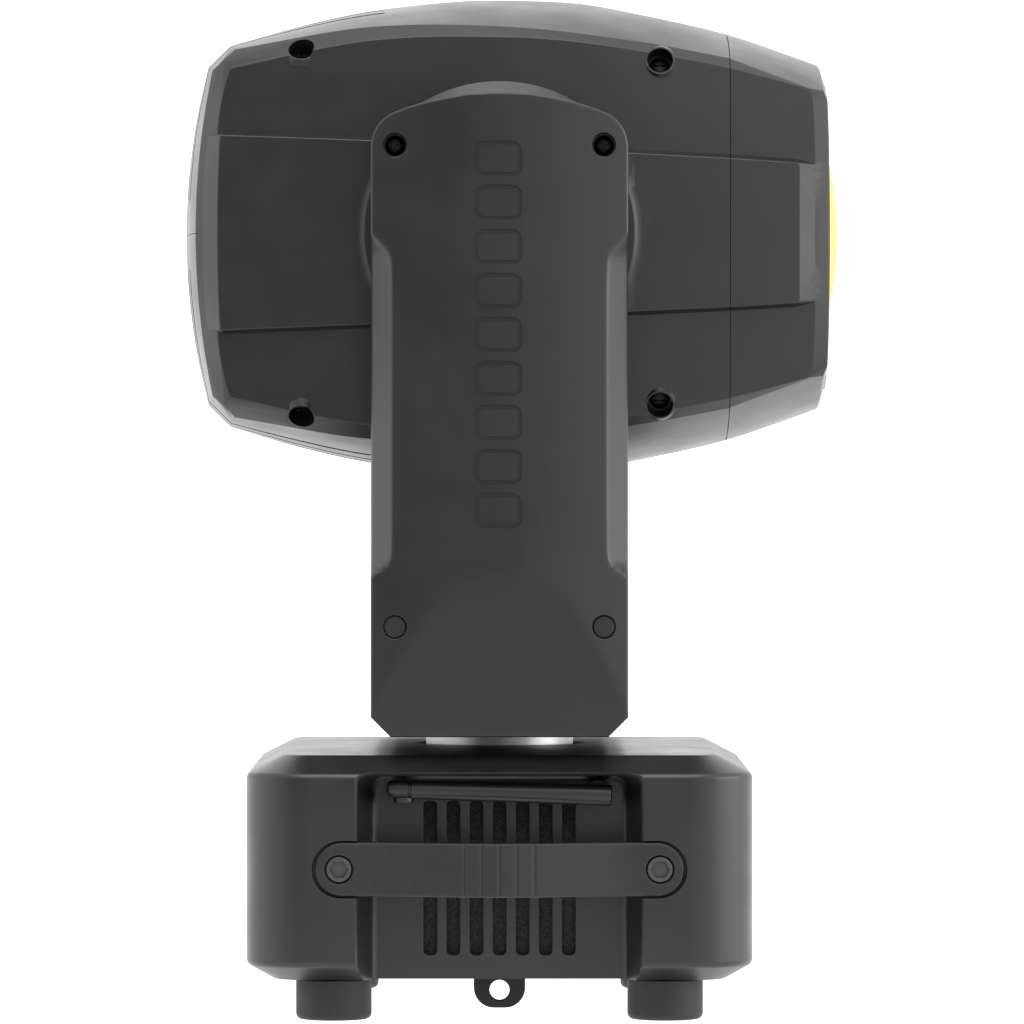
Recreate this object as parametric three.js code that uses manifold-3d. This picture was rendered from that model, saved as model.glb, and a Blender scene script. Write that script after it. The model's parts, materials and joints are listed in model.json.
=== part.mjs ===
// Moving head light: a base, a pan yoke and a tilting head, with the drives, optics and fittings inside them.
// Millimetres, +Z up. The origin is on the pan axis at the underside of the base. The beam leaves along +X
// when the head is level. "Right" is the -Y side and "left" is the +Y side.

import * as THREE from 'three';
import { mergeVertices } from 'three/addons/utils/BufferGeometryUtils.js';
import { ConvexGeometry } from 'three/addons/geometries/ConvexGeometry.js';
import Module from 'manifold-3d';

const wasm = await Module();
wasm.setup();

// ---------------------------------------------------------------- driving dimensions

const GAP = 0.3; // clearance between touching pieces
const WALL = 3; // moulded casing wall
const FAR = 400; // longer than anything it cuts
const OVER = 1; // how far a cutter runs past the face it cuts

const BASE = { x: 102, y: 122, corner: 25.4, sideTop: 82.7, top: 90.5, topInset: 14.8 };
const BASE_BEVEL = { inset: 10, height: 5.6 }; // around the underside
const RECESS = { halfMouth: 57.5, halfFloor: 51.5, depth: 23, top: 82.4 };
const VENT = { count: 7, pitch: 9.3, width: 5.3, bottom: 9.7, top: 71.7 };
const PLATE_THICKNESS = 3;
const CLAMP_SOCKET = { x: 60, y: 53, radius: 5 }; // quarter-turn sockets for a clamp bracket
const SEAT = { radius: 13, groove: 1.2, depth: 0.6 }; // ringed pads on the underside
const FOOT = { radius: 15.3, height: 16, x: 66.8, y: 96, edge: 2.5 };

const HANDLE = { halfLength: 75, height: 21.6, centre: 45.2, thickness: 5, bow: 15, halfBow: 57 };
const HANDLE_BOLT = {
  x: 64.3,
  headRadius: 5.2,
  shankRadius: 3,
  sinkRadius: 5.7,
  sinkDepth: 3,
  keyRadius: 3.9,
  keyDepth: 2,
};
const POST = { halfWidth: 80, depth: 9 }; // solid stock behind the handle pockets

const EYELET = { y: -70, width: 21, bottom: -13.6, thickness: 3, corner: 7 };
const EYELET_HOLE = { radius: 4, height: -6.3 };
const EYELET_TAB = { length: 16, thickness: 2.2 }; // the part screwed to the underside
const ANTENNA = { pivot: [39.5, -110.5, 75.2], tip: 84.5, heel: 5.5, rise: 2.5 };
const WHIP_RADIUS = { tip: 3.4, heel: 4.25 };
const JACK = { radius: 5.4, length: 4.2, thread: 2.9, threadDepth: 9, hole: 3.2 };
const CLIP = { x0: -42.5, x1: -34.5, bottom: 71.4, top: 73.7, reach: 13 };

const PANEL = { halfWidth: 62, bottom: 16.7, top: 75.7, outside: 101.5, thickness: 3 };
const DISPLAY = { y0: -50, y1: 10, bottom: 29, top: 63, sunk: 0.4, thickness: 2.1 };
const BUTTON = { radius: 4.5, travel: 1.2, proud: 1.5, length: 7 };
const BUTTON_PLACES = [[26, 56], [46, 56], [26, 36], [46, 36]]; // [y, z]
const SOCKET = { radius: 11.5, bore: 9.5, depth: 14, length: 22, proud: 1, z: 46 };
const SOCKET_PLACES = { power_inlet: 42, power_outlet: 14, data_inlet: -14, data_outlet: -42 }; // y

const POWER_SUPPLY = { x: 54, y0: 25, y1: 90, bottom: 3.2, top: 43 };
const BOARD = { x0: -30, x1: 90, y0: -88, y1: 15, bottom: 8, top: 9.6 };
const BOARD_PARTS = [ // x from and to, y from and to, top
  [-20, 10, -80, -50, 14],
  [30, 60, -70, -40, 12],
  [66, 84, -40, 0, 20],
  [-10, 20, -20, 8, 17],
];

const HUB = { radius: 30.5, bore: 16, bottom: 68.3, top: 100.2, hole: 34.2 };
const BEARING = { outer: 44, inner: 31.3, bottom: 71.8, top: 81.7, flange: 3, flangeX: 98.4, flangeY: 60 };
const PAN_PULLEY = { radius: 38, bottom: 57.2, top: 68 };
const PAN_MOTOR = { x: -58, y: -48, side: 42, bottom: 16, top: 54 };
const DRIVE_RATIO = 4; // large pulley to motor pulley, on both axes
const BELT = { gap: 0.4, thickness: 1.6, width: 6 };
const SHAFT_RADIUS = 2.5;
const SHAFT_HOLE = 3.5;

const ARM = { halfWidth: 51.7, bottom: 97.9, chamfer: 8, shoulder: 332.7, top: 356.3 };
const ARM_TOP = { radius: 118, halfWidth: 40, cornerX: 3, cornerZ: 9 };
const ARM_Y = { inside: 88, split: 100, outside: 122 };
const ARM_WALL = 2.6;
const ARM_BEVEL = { width: 8.6, depth: 10, bottom: 171.7, top: 293 };
const ARM_PLATE = { inside: 97.3, thickness: 3, inset: 4 };
const BRIDGE_TOP = 141.7;
const CHANNEL = { halfWidth: 40, top: 132, thickness: 2.5 };

const TILT_Z = 301.2;
const TRUNNION = { radius: 14, bore: 9, reach: 101, coverHole: 15, plateHole: 14.6, headHole: 14.5 };
const TILT_PULLEY = { radius: 36, inside: 101.6, outside: 109.6 };
const TILT_MOTOR = { width: 35, height: 34, z: 121.7, inside: 58, outside: 96.6 };

const HEAD = { seam: 93.6, rim: 131.6, rimRadius: 71, front: 134, frontRadius: 68.4, halfWidth: 80 };
const SIDE_BAND = { halfHeight: 38.5, proud: 2.8, inside: 77.3, rear: -111 };
const BOSS = { footRadius: 61.5, topRadius: 53.7, outside: 87 };
const LENS = { radius: 60, domeRadius: 126, apex: 139.1, back: 119.8 };
const BEAM_LIP = { radius: 56, back: 116.5 };

// Inside the head: positions along X, and heights from the tilt axis.
const CHASSIS = {
  rear: -45,
  front: 70,
  floor: -52,
  halfWidth: 75,
  thickness: 3,
  cheekFront: 45,
  cheekTop: 40,
};
const HEATSINK = { half: 46, finTip: -98, plateRear: -64, plateFront: -58, count: 10, pitch: 10, finHalf: 1 };
const LED = { rear: -57.7, front: -52, half: 24, reflectorFront: -32, rearRadius: 10, frontRadius: 22 };
const FAN = { rear: -119.5, front: -99.5, half: 41, duct: 38.5, hub: 12, rib: 2, ribThickness: 2 };
const ROTOR = {
  rear: -116.8,
  front: -101,
  radius: 14,
  blades: 7,
  bladeSize: [1.6, 14, 24],
  bladePitch: 0.6,
  bladeCentre: 24.5,
};
const COLOR = {
  axis: 30,
  rear: -22,
  front: -20,
  radius: 42,
  hubRear: -27.7,
  hubFront: -19,
  hubRadius: 5,
  filters: 8,
  filterRadius: 8.5,
  circle: 30,
};
const COLOR_MOTOR = { rear: -50, front: -28, half: 12, below: 4, above: 20 };
const FOCUS = {
  rear: 10,
  front: 26,
  radius: 34,
  bore: 30,
  glass: 12,
  shoeHalf: 20,
  shoeBottom: -48.6,
  shoeTop: -30,
  shoeOver: 2,
};

// ---------------------------------------------------------------- solids

function solid(geometry) {
  const bare = geometry.clone();
  for (const name of Object.keys(bare.attributes)) {
    if (name !== 'position') bare.deleteAttribute(name);
  }
  const merged = mergeVertices(bare, 1e-4);
  const vertProperties = new Float32Array(merged.attributes.position.array);
  const triVerts = new Uint32Array(merged.index.array);
  return new wasm.Manifold(new wasm.Mesh({ numProp: 3, vertProperties, triVerts }));
}

function geometryOf(manifold) {
  const mesh = manifold.getMesh();
  const geometry = new THREE.BufferGeometry();
  geometry.setAttribute('position', new THREE.BufferAttribute(mesh.vertProperties, 3));
  geometry.setIndex(new THREE.BufferAttribute(mesh.triVerts, 1));
  return geometry;
}

function joinAll(pieces) {
  return pieces.reduce((whole, piece) => whole.add(piece));
}

function box(x0, x1, y0, y1, z0, z1) {
  const geometry = new THREE.BoxGeometry(x1 - x0, y1 - y0, z1 - z0);
  geometry.translate((x0 + x1) / 2, (y0 + y1) / 2, (z0 + z1) / 2);
  return solid(geometry);
}

// A cone or cylinder along 'x', 'y' or 'z' from one position on that axis to another, radiusA to radiusB.
function cone(axis, from, to, radiusA, radiusB, centre = [0, 0], sides = 28) {
  const geometry = new THREE.CylinderGeometry(radiusB, radiusA, to - from, sides);
  const middle = (from + to) / 2;
  if (axis === 'x') {
    geometry.rotateZ(-Math.PI / 2);
    geometry.translate(middle, centre[0], centre[1]);
  } else if (axis === 'y') {
    geometry.translate(centre[0], middle, centre[1]);
  } else {
    geometry.rotateX(Math.PI / 2);
    geometry.translate(centre[0], centre[1], middle);
  }
  return solid(geometry);
}

function rod(axis, from, to, radius, centre = [0, 0], sides = 28) {
  return cone(axis, from, to, radius, radius, centre, sides);
}

function hull(points) {
  return solid(new ConvexGeometry(points.map((p) => new THREE.Vector3(...p))));
}

// A flat outline of [x, z] points extruded between two positions along Y.
function slabY(outline, y0, y1) {
  const shape = new THREE.Shape(outline.map(([x, z]) => new THREE.Vector2(x, z)));
  const geometry = new THREE.ExtrudeGeometry(shape, { depth: y1 - y0, bevelEnabled: false });
  geometry.rotateX(Math.PI / 2);
  geometry.translate(0, y1, 0);
  return solid(geometry);
}

function arc(centreX, centreZ, radius, fromDegrees, toDegrees, steps) {
  return Array.from({ length: steps + 1 }, (_, i) => {
    const angle = THREE.MathUtils.degToRad(fromDegrees + ((toDegrees - fromDegrees) * i) / steps);
    return [centreX + radius * Math.cos(angle), centreZ + radius * Math.sin(angle)];
  });
}

function roundedRing(halfX, halfY, radius, z) {
  const corners = [[1, 1, 0], [-1, 1, 90], [-1, -1, 180], [1, -1, 270]];
  return corners.flatMap(([sx, sy, start]) => {
    const corner = arc(sx * (halfX - radius), sy * (halfY - radius), radius, start, start + 90, 4);
    return corner.map(([x, y]) => [x, y, z]);
  });
}

// A ring of the base's own plan, set in from its outermost walls.
function baseRing(inset, z, insetY = inset) {
  return roundedRing(BASE.x - inset, BASE.y - insetY, BASE.corner - inset, z);
}

// Two distances from the mid-plane on one side of the light, as a lower and an upper Y.
function sideSpan(side, inner, outer) {
  return side > 0 ? [inner, outer] : [-outer, -inner];
}

function sideBox(side, x0, x1, inner, outer, z0, z1) {
  const [y0, y1] = sideSpan(side, inner, outer);
  return box(x0, x1, y0, y1, z0, z1);
}

function sideSlab(side, outline, inner, outer) {
  const [y0, y1] = sideSpan(side, inner, outer);
  return slabY(outline, y0, y1);
}

function sideRod(side, inner, outer, radius, x, z, sides) {
  const [from, to] = sideSpan(side, inner, outer);
  return rod('y', from, to, radius, [x, z], sides);
}

// ---------------------------------------------------------------- scene

const light = new THREE.Group();

function piece(name, manifold, color, roughness = 0.6, metalness = 0) {
  const material = new THREE.MeshStandardMaterial({ color, roughness, metalness });
  const mesh = new THREE.Mesh(geometryOf(manifold), material);
  mesh.name = name;
  light.add(mesh);
}

const CASING = 0x33343a;
const METAL = 0xa8abb0;
const BLACK = 0x17181b;
const GREEN = 0x1f5a38;

// ---------------------------------------------------------------- base

const SIDES = { right: -1, left: 1 };

function baseOuter() {
  return hull([
    ...baseRing(BASE_BEVEL.inset, 0),
    ...baseRing(0, BASE_BEVEL.height),
    ...baseRing(0, BASE.sideTop),
    ...baseRing(BASE.topInset, BASE.top),
  ]);
}

function baseCavity() {
  const mouth = BASE_BEVEL.inset + WALL;
  const bevelWall = WALL * 0.57; // drop that keeps the sloping top edge about as thick as the walls
  return hull([
    ...baseRing(mouth, -OVER),
    ...baseRing(mouth, WALL),
    ...baseRing(WALL, BASE_BEVEL.height + WALL),
    ...baseRing(WALL, BASE.sideTop - bevelWall),
    ...baseRing(BASE.topInset + WALL, BASE.top - WALL),
  ]);
}

// The handle bay in one side wall, open at the front and at the bottom. grow thickens it into its own walls.
function recessBlock(side, grow) {
  const mouthY = side * (BASE.y + OVER);
  const floorY = side * (BASE.y - RECESS.depth - grow);
  const bottom = grow ? 0 : -OVER;
  const points = [];
  for (const sx of [-1, 1]) {
    for (const z of [bottom, RECESS.top + grow]) {
      points.push([sx * (RECESS.halfMouth + grow), mouthY, z]);
      points.push([sx * (RECESS.halfFloor + grow), floorY, z]);
    }
  }
  return hull(points);
}

function postBlock(side) {
  const { halfWidth, depth } = POST;
  return sideBox(side, -halfWidth, halfWidth, BASE.y - depth, BASE.y, 0, BASE.sideTop);
}

function handleOutline(halfLength, halfHeight) {
  const centre = halfLength - halfHeight;
  return [
    ...arc(centre, HANDLE.centre, halfHeight, -90, 90, 6),
    ...arc(-centre, HANDLE.centre, halfHeight, 90, 270, 6),
  ];
}

function handlePocket(side) {
  const margin = 1; // the gap all round the strap's end
  const outline = handleOutline(HANDLE.halfLength + margin, HANDLE.height / 2 + margin);
  return sideSlab(side, outline, BASE.y - HANDLE.thickness - GAP, BASE.y + OVER);
}

function boltPlaces() {
  return Object.values(SIDES).flatMap((side) => [1, -1].map((end) => ({ side, x: end * HANDLE_BOLT.x })));
}

function ventSlots(side) {
  const radius = VENT.width / 2;
  const floor = BASE.y - RECESS.depth;
  return Array.from({ length: VENT.count }, (_, i) => {
    const x = (i - (VENT.count - 1) / 2) * VENT.pitch;
    const outline = [
      ...arc(x, VENT.top - radius, radius, 0, 180, 3),
      ...arc(x, VENT.bottom + radius, radius, 180, 360, 3),
    ];
    return sideSlab(side, outline, floor - WALL - OVER, floor + OVER);
  });
}

function panelWindow(end) {
  const { halfWidth, bottom, top } = PANEL;
  const inner = BASE.x - 2 * WALL;
  const [x0, x1] = end > 0 ? [inner, BASE.x + OVER] : [-BASE.x - OVER, -inner];
  return box(x0, x1, -halfWidth, halfWidth, bottom, top);
}

function baseShell() {
  let cavity = baseCavity();
  let shell = baseOuter();
  for (const side of Object.values(SIDES)) {
    cavity = cavity.subtract(recessBlock(side, WALL)).subtract(postBlock(side));
    shell = shell.subtract(recessBlock(side, 0)).subtract(handlePocket(side));
  }
  shell = shell.subtract(cavity);
  for (const side of Object.values(SIDES)) {
    shell = shell.subtract(joinAll(ventSlots(side)));
  }
  for (const { side, x } of boltPlaces()) {
    const shank = HANDLE_BOLT.shankRadius + GAP;
    shell = shell.subtract(sideRod(side, BASE.y - POST.depth - OVER, BASE.y, shank, x, HANDLE.centre, 10));
  }
  shell = shell.subtract(panelWindow(1)).subtract(panelWindow(-1));
  shell = shell.subtract(rod('z', BASE.sideTop, BASE.top + OVER, HUB.hole, [0, 0], 36));
  const floor = BASE.y - RECESS.depth;
  const [jackX, , jackZ] = ANTENNA.pivot;
  shell = shell.subtract(sideRod(-1, floor - WALL - OVER, floor + OVER, JACK.hole, jackX, jackZ, 16));
  const { x0, x1, reach, bottom, top } = CLIP;
  return shell.add(sideBox(-1, x0, x1, floor - OVER, floor + reach, bottom, top));
}

// A shallow round groove in the underside that rings a flat pad.
function seatGroove(x) {
  const { radius, groove, depth } = SEAT;
  const outer = rod('z', -OVER, depth, radius + groove, [x, 0], 20);
  return outer.subtract(rod('z', -2 * OVER, depth + OVER, radius, [x, 0], 20));
}

function bottomPlate() {
  const inset = BASE_BEVEL.inset + WALL + GAP;
  const above = PLATE_THICKNESS + OVER;
  const notch = RECESS.halfMouth + WALL + GAP;
  let plate = hull([...baseRing(inset, 0), ...baseRing(inset, PLATE_THICKNESS - GAP)]);
  for (const side of Object.values(SIDES)) {
    const edge = BASE.y - POST.depth - GAP;
    const floor = BASE.y - RECESS.depth - WALL - GAP;
    plate = plate.subtract(sideBox(side, -FAR, FAR, edge, FAR, -OVER, above));
    plate = plate.subtract(sideBox(side, -notch, notch, floor, FAR, -OVER, above));
    for (const end of [1, -1]) {
      const place = [end * CLAMP_SOCKET.x, side * CLAMP_SOCKET.y];
      plate = plate.subtract(rod('z', -OVER, above, CLAMP_SOCKET.radius, place, 20));
    }
  }
  for (const x of [-CLAMP_SOCKET.x, 0, CLAMP_SOCKET.x]) {
    plate = plate.subtract(seatGroove(x));
  }
  return plate;
}

function foot(x, y) {
  const bottom = -FOOT.height - GAP;
  const lower = cone('z', bottom, bottom + FOOT.edge, FOOT.radius - FOOT.edge, FOOT.radius, [x, y], 24);
  return lower.add(rod('z', bottom + FOOT.edge, -GAP, FOOT.radius, [x, y], 24));
}

function handle(side) {
  const steps = 16;
  const outline = [];
  for (let i = 0; i <= steps; i += 1) {
    const x = -HANDLE.halfLength + (2 * HANDLE.halfLength * i) / steps;
    const along = Math.min(Math.abs(x) / HANDLE.halfBow, 1);
    const bow = HANDLE.bow * Math.cos((along * Math.PI) / 2) ** 2;
    outline.push([x, side * (BASE.y + bow)]);
  }
  const inner = outline.map(([x, y]) => [x, y - side * HANDLE.thickness]).reverse();
  const shape = new THREE.Shape([...outline, ...inner].map(([x, y]) => new THREE.Vector2(x, y)));
  const strip = new THREE.ExtrudeGeometry(shape, { depth: HANDLE.height, bevelEnabled: false });
  strip.translate(0, 0, HANDLE.centre - HANDLE.height / 2);
  const ends = handleOutline(HANDLE.halfLength, HANDLE.height / 2 + 0.01);
  let strap = solid(strip).intersect(slabY(ends, -FAR, FAR));
  const { sinkDepth, sinkRadius, shankRadius } = HANDLE_BOLT;
  const sink = BASE.y - sinkDepth;
  for (const end of [1, -1]) {
    const x = end * HANDLE_BOLT.x;
    const behind = BASE.y - HANDLE.thickness - OVER;
    strap = strap.subtract(sideRod(side, sink, FAR, sinkRadius, x, HANDLE.centre, 20));
    strap = strap.subtract(sideRod(side, behind, sink + OVER, shankRadius + GAP, x, HANDLE.centre, 10));
  }
  return strap;
}

function handleBolt(side, x) {
  const { sinkDepth, headRadius, shankRadius, keyRadius, keyDepth } = HANDLE_BOLT;
  const seat = BASE.y - sinkDepth + GAP;
  const head = sideRod(side, seat, BASE.y - GAP, headRadius, x, HANDLE.centre, 20);
  const shank = sideRod(side, BASE.y - POST.depth, seat + OVER, shankRadius, x, HANDLE.centre, 10);
  const key = sideRod(side, BASE.y - keyDepth, BASE.y + OVER, keyRadius, x, HANDLE.centre, 6);
  return head.add(shank).subtract(key);
}

function safetyEyelet() {
  const { bottom, corner } = EYELET;
  const half = EYELET.width / 2;
  const y0 = EYELET.y - EYELET.thickness / 2;
  const y1 = EYELET.y + EYELET.thickness / 2;
  const outline = [
    [half, -GAP],
    [-half, -GAP],
    ...arc(-half + corner, bottom + corner, corner, 180, 270, 5),
    ...arc(half - corner, bottom + corner, corner, 270, 360, 5),
  ];
  const loop = slabY(outline, y0, y1);
  const tab = box(-half, half, y0, y0 + EYELET_TAB.length, -GAP - EYELET_TAB.thickness, -GAP);
  const hole = rod('y', y0 - OVER, y1 + OVER, EYELET_HOLE.radius, [0, EYELET_HOLE.height], 28);
  return loop.add(tab).subtract(hole);
}

function antenna() {
  const { pivot: [x, y, z], tip, heel, rise } = ANTENNA;
  const whip = new THREE.CylinderGeometry(WHIP_RADIUS.tip, WHIP_RADIUS.heel, tip + heel, 20);
  whip.translate(0, (tip - heel) / 2, 0);
  whip.rotateZ(Math.PI / 2);
  whip.rotateY(Math.atan2(rise, tip));
  whip.translate(x, y, z);
  return solid(whip);
}

function antennaJack() {
  const [x, , z] = ANTENNA.pivot;
  const floor = BASE.y - RECESS.depth;
  const collar = sideRod(-1, floor + GAP, floor + JACK.length, JACK.radius, x, z, 24);
  return collar.add(sideRod(-1, floor - JACK.threadDepth, floor + OVER, JACK.thread, x, z, 16));
}

function controlPanel() {
  const { halfWidth, bottom, top, outside, thickness } = PANEL;
  const behind = outside - thickness - OVER;
  let panel = box(outside - thickness, outside, -halfWidth + GAP, halfWidth - GAP, bottom + GAP, top - GAP);
  panel = panel.subtract(box(behind, FAR, DISPLAY.y0, DISPLAY.y1, DISPLAY.bottom, DISPLAY.top));
  for (const place of BUTTON_PLACES) {
    panel = panel.subtract(rod('x', behind, FAR, BUTTON.radius + GAP, place, 16));
  }
  return panel;
}

function displayWindow() {
  const { y0, y1, bottom, top, sunk, thickness } = DISPLAY;
  const face = PANEL.outside - sunk;
  return box(face - thickness, face, y0 + GAP, y1 - GAP, bottom + GAP, top - GAP);
}

function menuButton(y, z) {
  const front = PANEL.outside + BUTTON.proud;
  return rod('x', front - BUTTON.length, front, BUTTON.radius, [y, z], 16);
}

function connectorPanel() {
  const { halfWidth, bottom, top, outside, thickness } = PANEL;
  const behind = -outside + thickness + OVER;
  let panel = box(-outside, -outside + thickness, -halfWidth + GAP, halfWidth - GAP, bottom + GAP, top - GAP);
  for (const y of Object.values(SOCKET_PLACES)) {
    panel = panel.subtract(rod('x', -outside - OVER, behind, SOCKET.radius + GAP, [y, SOCKET.z], 24));
  }
  return panel;
}

function socket(y) {
  const { radius, bore, depth, length, proud, z } = SOCKET;
  const front = -PANEL.outside - proud;
  const body = rod('x', front, front + length, radius, [y, z], 24);
  return body.subtract(rod('x', front - OVER, front + depth, bore, [y, z], 20));
}

function mainBoard() {
  const { x0, x1, y0, y1, bottom, top } = BOARD;
  const parts = BOARD_PARTS.map(([px0, px1, py0, py1, height]) => box(px0, px1, py0, py1, bottom, height));
  return joinAll([box(x0, x1, y0, y1, bottom, top), ...parts]);
}

function panBearing() {
  const { outer, inner, bottom, top, flange, flangeX, flangeY } = BEARING;
  const ring = rod('z', bottom, top, outer, [0, 0], 32);
  const plate = box(-flangeX, flangeX, -flangeY, flangeY, bottom - flange, bottom + OVER);
  return ring.add(plate).subtract(rod('z', bottom - flange - OVER, top + OVER, inner, [0, 0], 36));
}

// A toothed belt around two pulleys, each { centre, radius }, whose axes run along 'y' or 'z'.
function belt(axis, middle, a, b) {
  const at = (u, v, w) => (axis === 'z' ? [u, v, w] : [u, w, v]);
  const loop = (grow, halfWidth) => {
    const points = [];
    for (const pulley of [a, b]) {
      for (const [u, v] of arc(pulley.centre[0], pulley.centre[1], pulley.radius + grow, 0, 345, 23)) {
        points.push(at(u, v, middle - halfWidth), at(u, v, middle + halfWidth));
      }
    }
    return hull(points);
  };
  return loop(BELT.gap + BELT.thickness, BELT.width / 2).subtract(loop(BELT.gap, BELT.width));
}

function buildBase() {
  piece('base_shell', baseShell(), CASING);
  piece('base_bottom_plate', bottomPlate(), BLACK, 0.5, 0.3);
  let number = 1;
  for (const x of [FOOT.x, -FOOT.x]) {
    for (const y of [-FOOT.y, FOOT.y]) {
      piece(`foot_${number}`, foot(x, y), BLACK, 0.9);
      number += 1;
    }
  }
  for (const [name, side] of Object.entries(SIDES)) {
    piece(`handle_${name}`, handle(side), CASING, 0.7);
  }
  boltPlaces().forEach(({ side, x }, i) => {
    piece(`handle_bolt_${i + 1}`, handleBolt(side, x), BLACK, 0.4, 0.6);
  });
  piece('safety_eyelet', safetyEyelet(), METAL, 0.4, 0.8);
  piece('antenna_jack', antennaJack(), METAL, 0.4, 0.8);
  piece('antenna', antenna(), BLACK, 0.6);
  piece('control_panel', controlPanel(), BLACK, 0.5);
  piece('display_window', displayWindow(), 0x0a1420, 0.1);
  BUTTON_PLACES.forEach(([y, z], i) => piece(`menu_button_${i + 1}`, menuButton(y, z), METAL, 0.7));
  piece('connector_panel', connectorPanel(), BLACK, 0.5);
  for (const [name, y] of Object.entries(SOCKET_PLACES)) {
    piece(name, socket(y), BLACK, 0.5);
  }
  const { x, y0, y1, bottom, top } = POWER_SUPPLY;
  piece('power_supply', box(-x, x, y0, y1, bottom, top), METAL, 0.5, 0.6);
  piece('main_board', mainBoard(), GREEN, 0.6);
}

function buildPanDrive() {
  const { x, y, side, bottom, top } = PAN_MOTOR;
  const half = side / 2;
  const large = { centre: [0, 0], radius: PAN_PULLEY.radius };
  const small = { centre: [x, y], radius: PAN_PULLEY.radius / DRIVE_RATIO };
  const middle = (PAN_PULLEY.bottom + PAN_PULLEY.top) / 2;
  const bore = rod('z', 0, FAR, HUB.bore, [0, 0], 24);
  const pulley = (wheel, sides) =>
    rod('z', PAN_PULLEY.bottom, PAN_PULLEY.top, wheel.radius, wheel.centre, sides);
  const spindle = rod('z', top + GAP, PAN_PULLEY.top, SHAFT_RADIUS, [x, y], 16);
  piece('pan_bearing', panBearing(), METAL, 0.4, 0.8);
  piece('pan_motor', box(x - half, x + half, y - half, y + half, bottom, top), BLACK, 0.5, 0.4);
  piece('pan_belt', belt('z', middle, large, small), BLACK, 0.9);
  piece('pan_motor_pulley', pulley(small, 32).add(spindle), METAL, 0.4, 0.8);
  piece('pan_pulley', pulley(large, 36).subtract(bore), METAL, 0.4, 0.8);
  piece('pan_hub', rod('z', HUB.bottom, HUB.top, HUB.radius, [0, 0], 36).subtract(bore), METAL, 0.3, 0.9);
}

// ---------------------------------------------------------------- yoke

function armOutline(inset) {
  const { halfWidth, bottom, chamfer, shoulder, top } = ARM;
  const { radius, halfWidth: arcHalf, cornerX, cornerZ } = ARM_TOP;
  const side = halfWidth - inset;
  const lean = THREE.MathUtils.radToDeg(Math.asin(arcHalf / radius));
  const cornerTop = shoulder + cornerZ - inset / 2;
  return [
    [side - chamfer, bottom + inset],
    [side, bottom + chamfer + inset],
    [side, shoulder],
    [side - cornerX, cornerTop],
    ...arc(0, top - radius, radius - inset, 90 - lean, 90 + lean, 8),
    [-side + cornerX, cornerTop],
    [-side, shoulder],
    [-side, bottom + chamfer + inset],
    [-side + chamfer, bottom + inset],
  ];
}

function armBevel(side, end) {
  const { width, depth, bottom, top } = ARM_BEVEL;
  const { halfWidth } = ARM;
  const { outside } = ARM_Y;
  const section = [
    [halfWidth - width, outside],
    [halfWidth, outside - depth],
    [halfWidth + OVER, outside - depth],
    [halfWidth + OVER, outside + OVER],
    [halfWidth - width, outside + OVER],
  ];
  return hull(section.flatMap(([x, y]) => [[end * x, side * y, bottom], [end * x, side * y, top]]));
}

function armOuterCover(side) {
  const { split, outside } = ARM_Y;
  const step = outside - ARM_BEVEL.depth - ARM_WALL;
  const narrow = armOutline(ARM_WALL + ARM_BEVEL.width);
  let cover = sideSlab(side, armOutline(0), split + GAP / 2, outside);
  cover = cover.subtract(sideSlab(side, armOutline(ARM_WALL), split - OVER, step));
  cover = cover.subtract(sideSlab(side, narrow, step - OVER, outside - ARM_WALL));
  return cover.subtract(armBevel(side, 1)).subtract(armBevel(side, -1));
}

function armInnerCover(side) {
  const { inside, split } = ARM_Y;
  const cover = sideSlab(side, armOutline(0), inside, split - GAP / 2);
  const cavity = sideSlab(side, armOutline(ARM_WALL), inside + ARM_WALL, split + OVER);
  const below = sideBox(side, -FAR, FAR, inside - OVER, split + OVER, 0, BRIDGE_TOP + GAP);
  const eye = sideRod(side, inside - OVER, split + OVER, TRUNNION.coverHole, 0, TILT_Z, 32);
  return cover.subtract(cavity).subtract(below).subtract(eye);
}

function armPlate(side) {
  const { inside, thickness, inset } = ARM_PLATE;
  const outside = inside + thickness;
  const eye = sideRod(side, inside - OVER, outside + OVER, TRUNNION.plateHole, 0, TILT_Z, 40);
  const shaft = sideRod(side, inside - OVER, outside + OVER, SHAFT_HOLE, 0, TILT_MOTOR.z, 16);
  return sideSlab(side, armOutline(inset), inside, outside).subtract(eye).subtract(shaft);
}

function bridgeCover() {
  const reach = ARM_Y.split - GAP / 2;
  const below = (z) => box(-FAR, FAR, -FAR, FAR, 0, z);
  const outer = slabY(armOutline(0), -reach, reach).intersect(below(BRIDGE_TOP));
  const inner = slabY(armOutline(ARM_WALL), -FAR, FAR).intersect(below(BRIDGE_TOP - ARM_WALL));
  const hubHole = rod('z', ARM.bottom - OVER, HUB.top + OVER, HUB.radius + 0.8, [0, 0], 36);
  let cover = outer.subtract(inner).subtract(hubHole);
  const slot = ARM.halfWidth - ARM_PLATE.inset + GAP;
  for (const side of Object.values(SIDES)) {
    cover = cover.subtract(sideBox(side, -slot, slot, ARM_PLATE.inside - GAP, FAR, CHANNEL.top, FAR));
  }
  return cover;
}

function yokeChannel() {
  const { halfWidth, top, thickness } = CHANNEL;
  const bottom = HUB.top + GAP;
  const reach = ARM_PLATE.inside - GAP;
  const tray = box(-halfWidth, halfWidth, -reach, reach, bottom, top);
  const inside = box(-halfWidth + thickness, halfWidth - thickness, -FAR, FAR, bottom + thickness, FAR);
  return tray.subtract(inside).subtract(rod('z', HUB.top, bottom + thickness + OVER, HUB.bore, [0, 0], 32));
}

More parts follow.
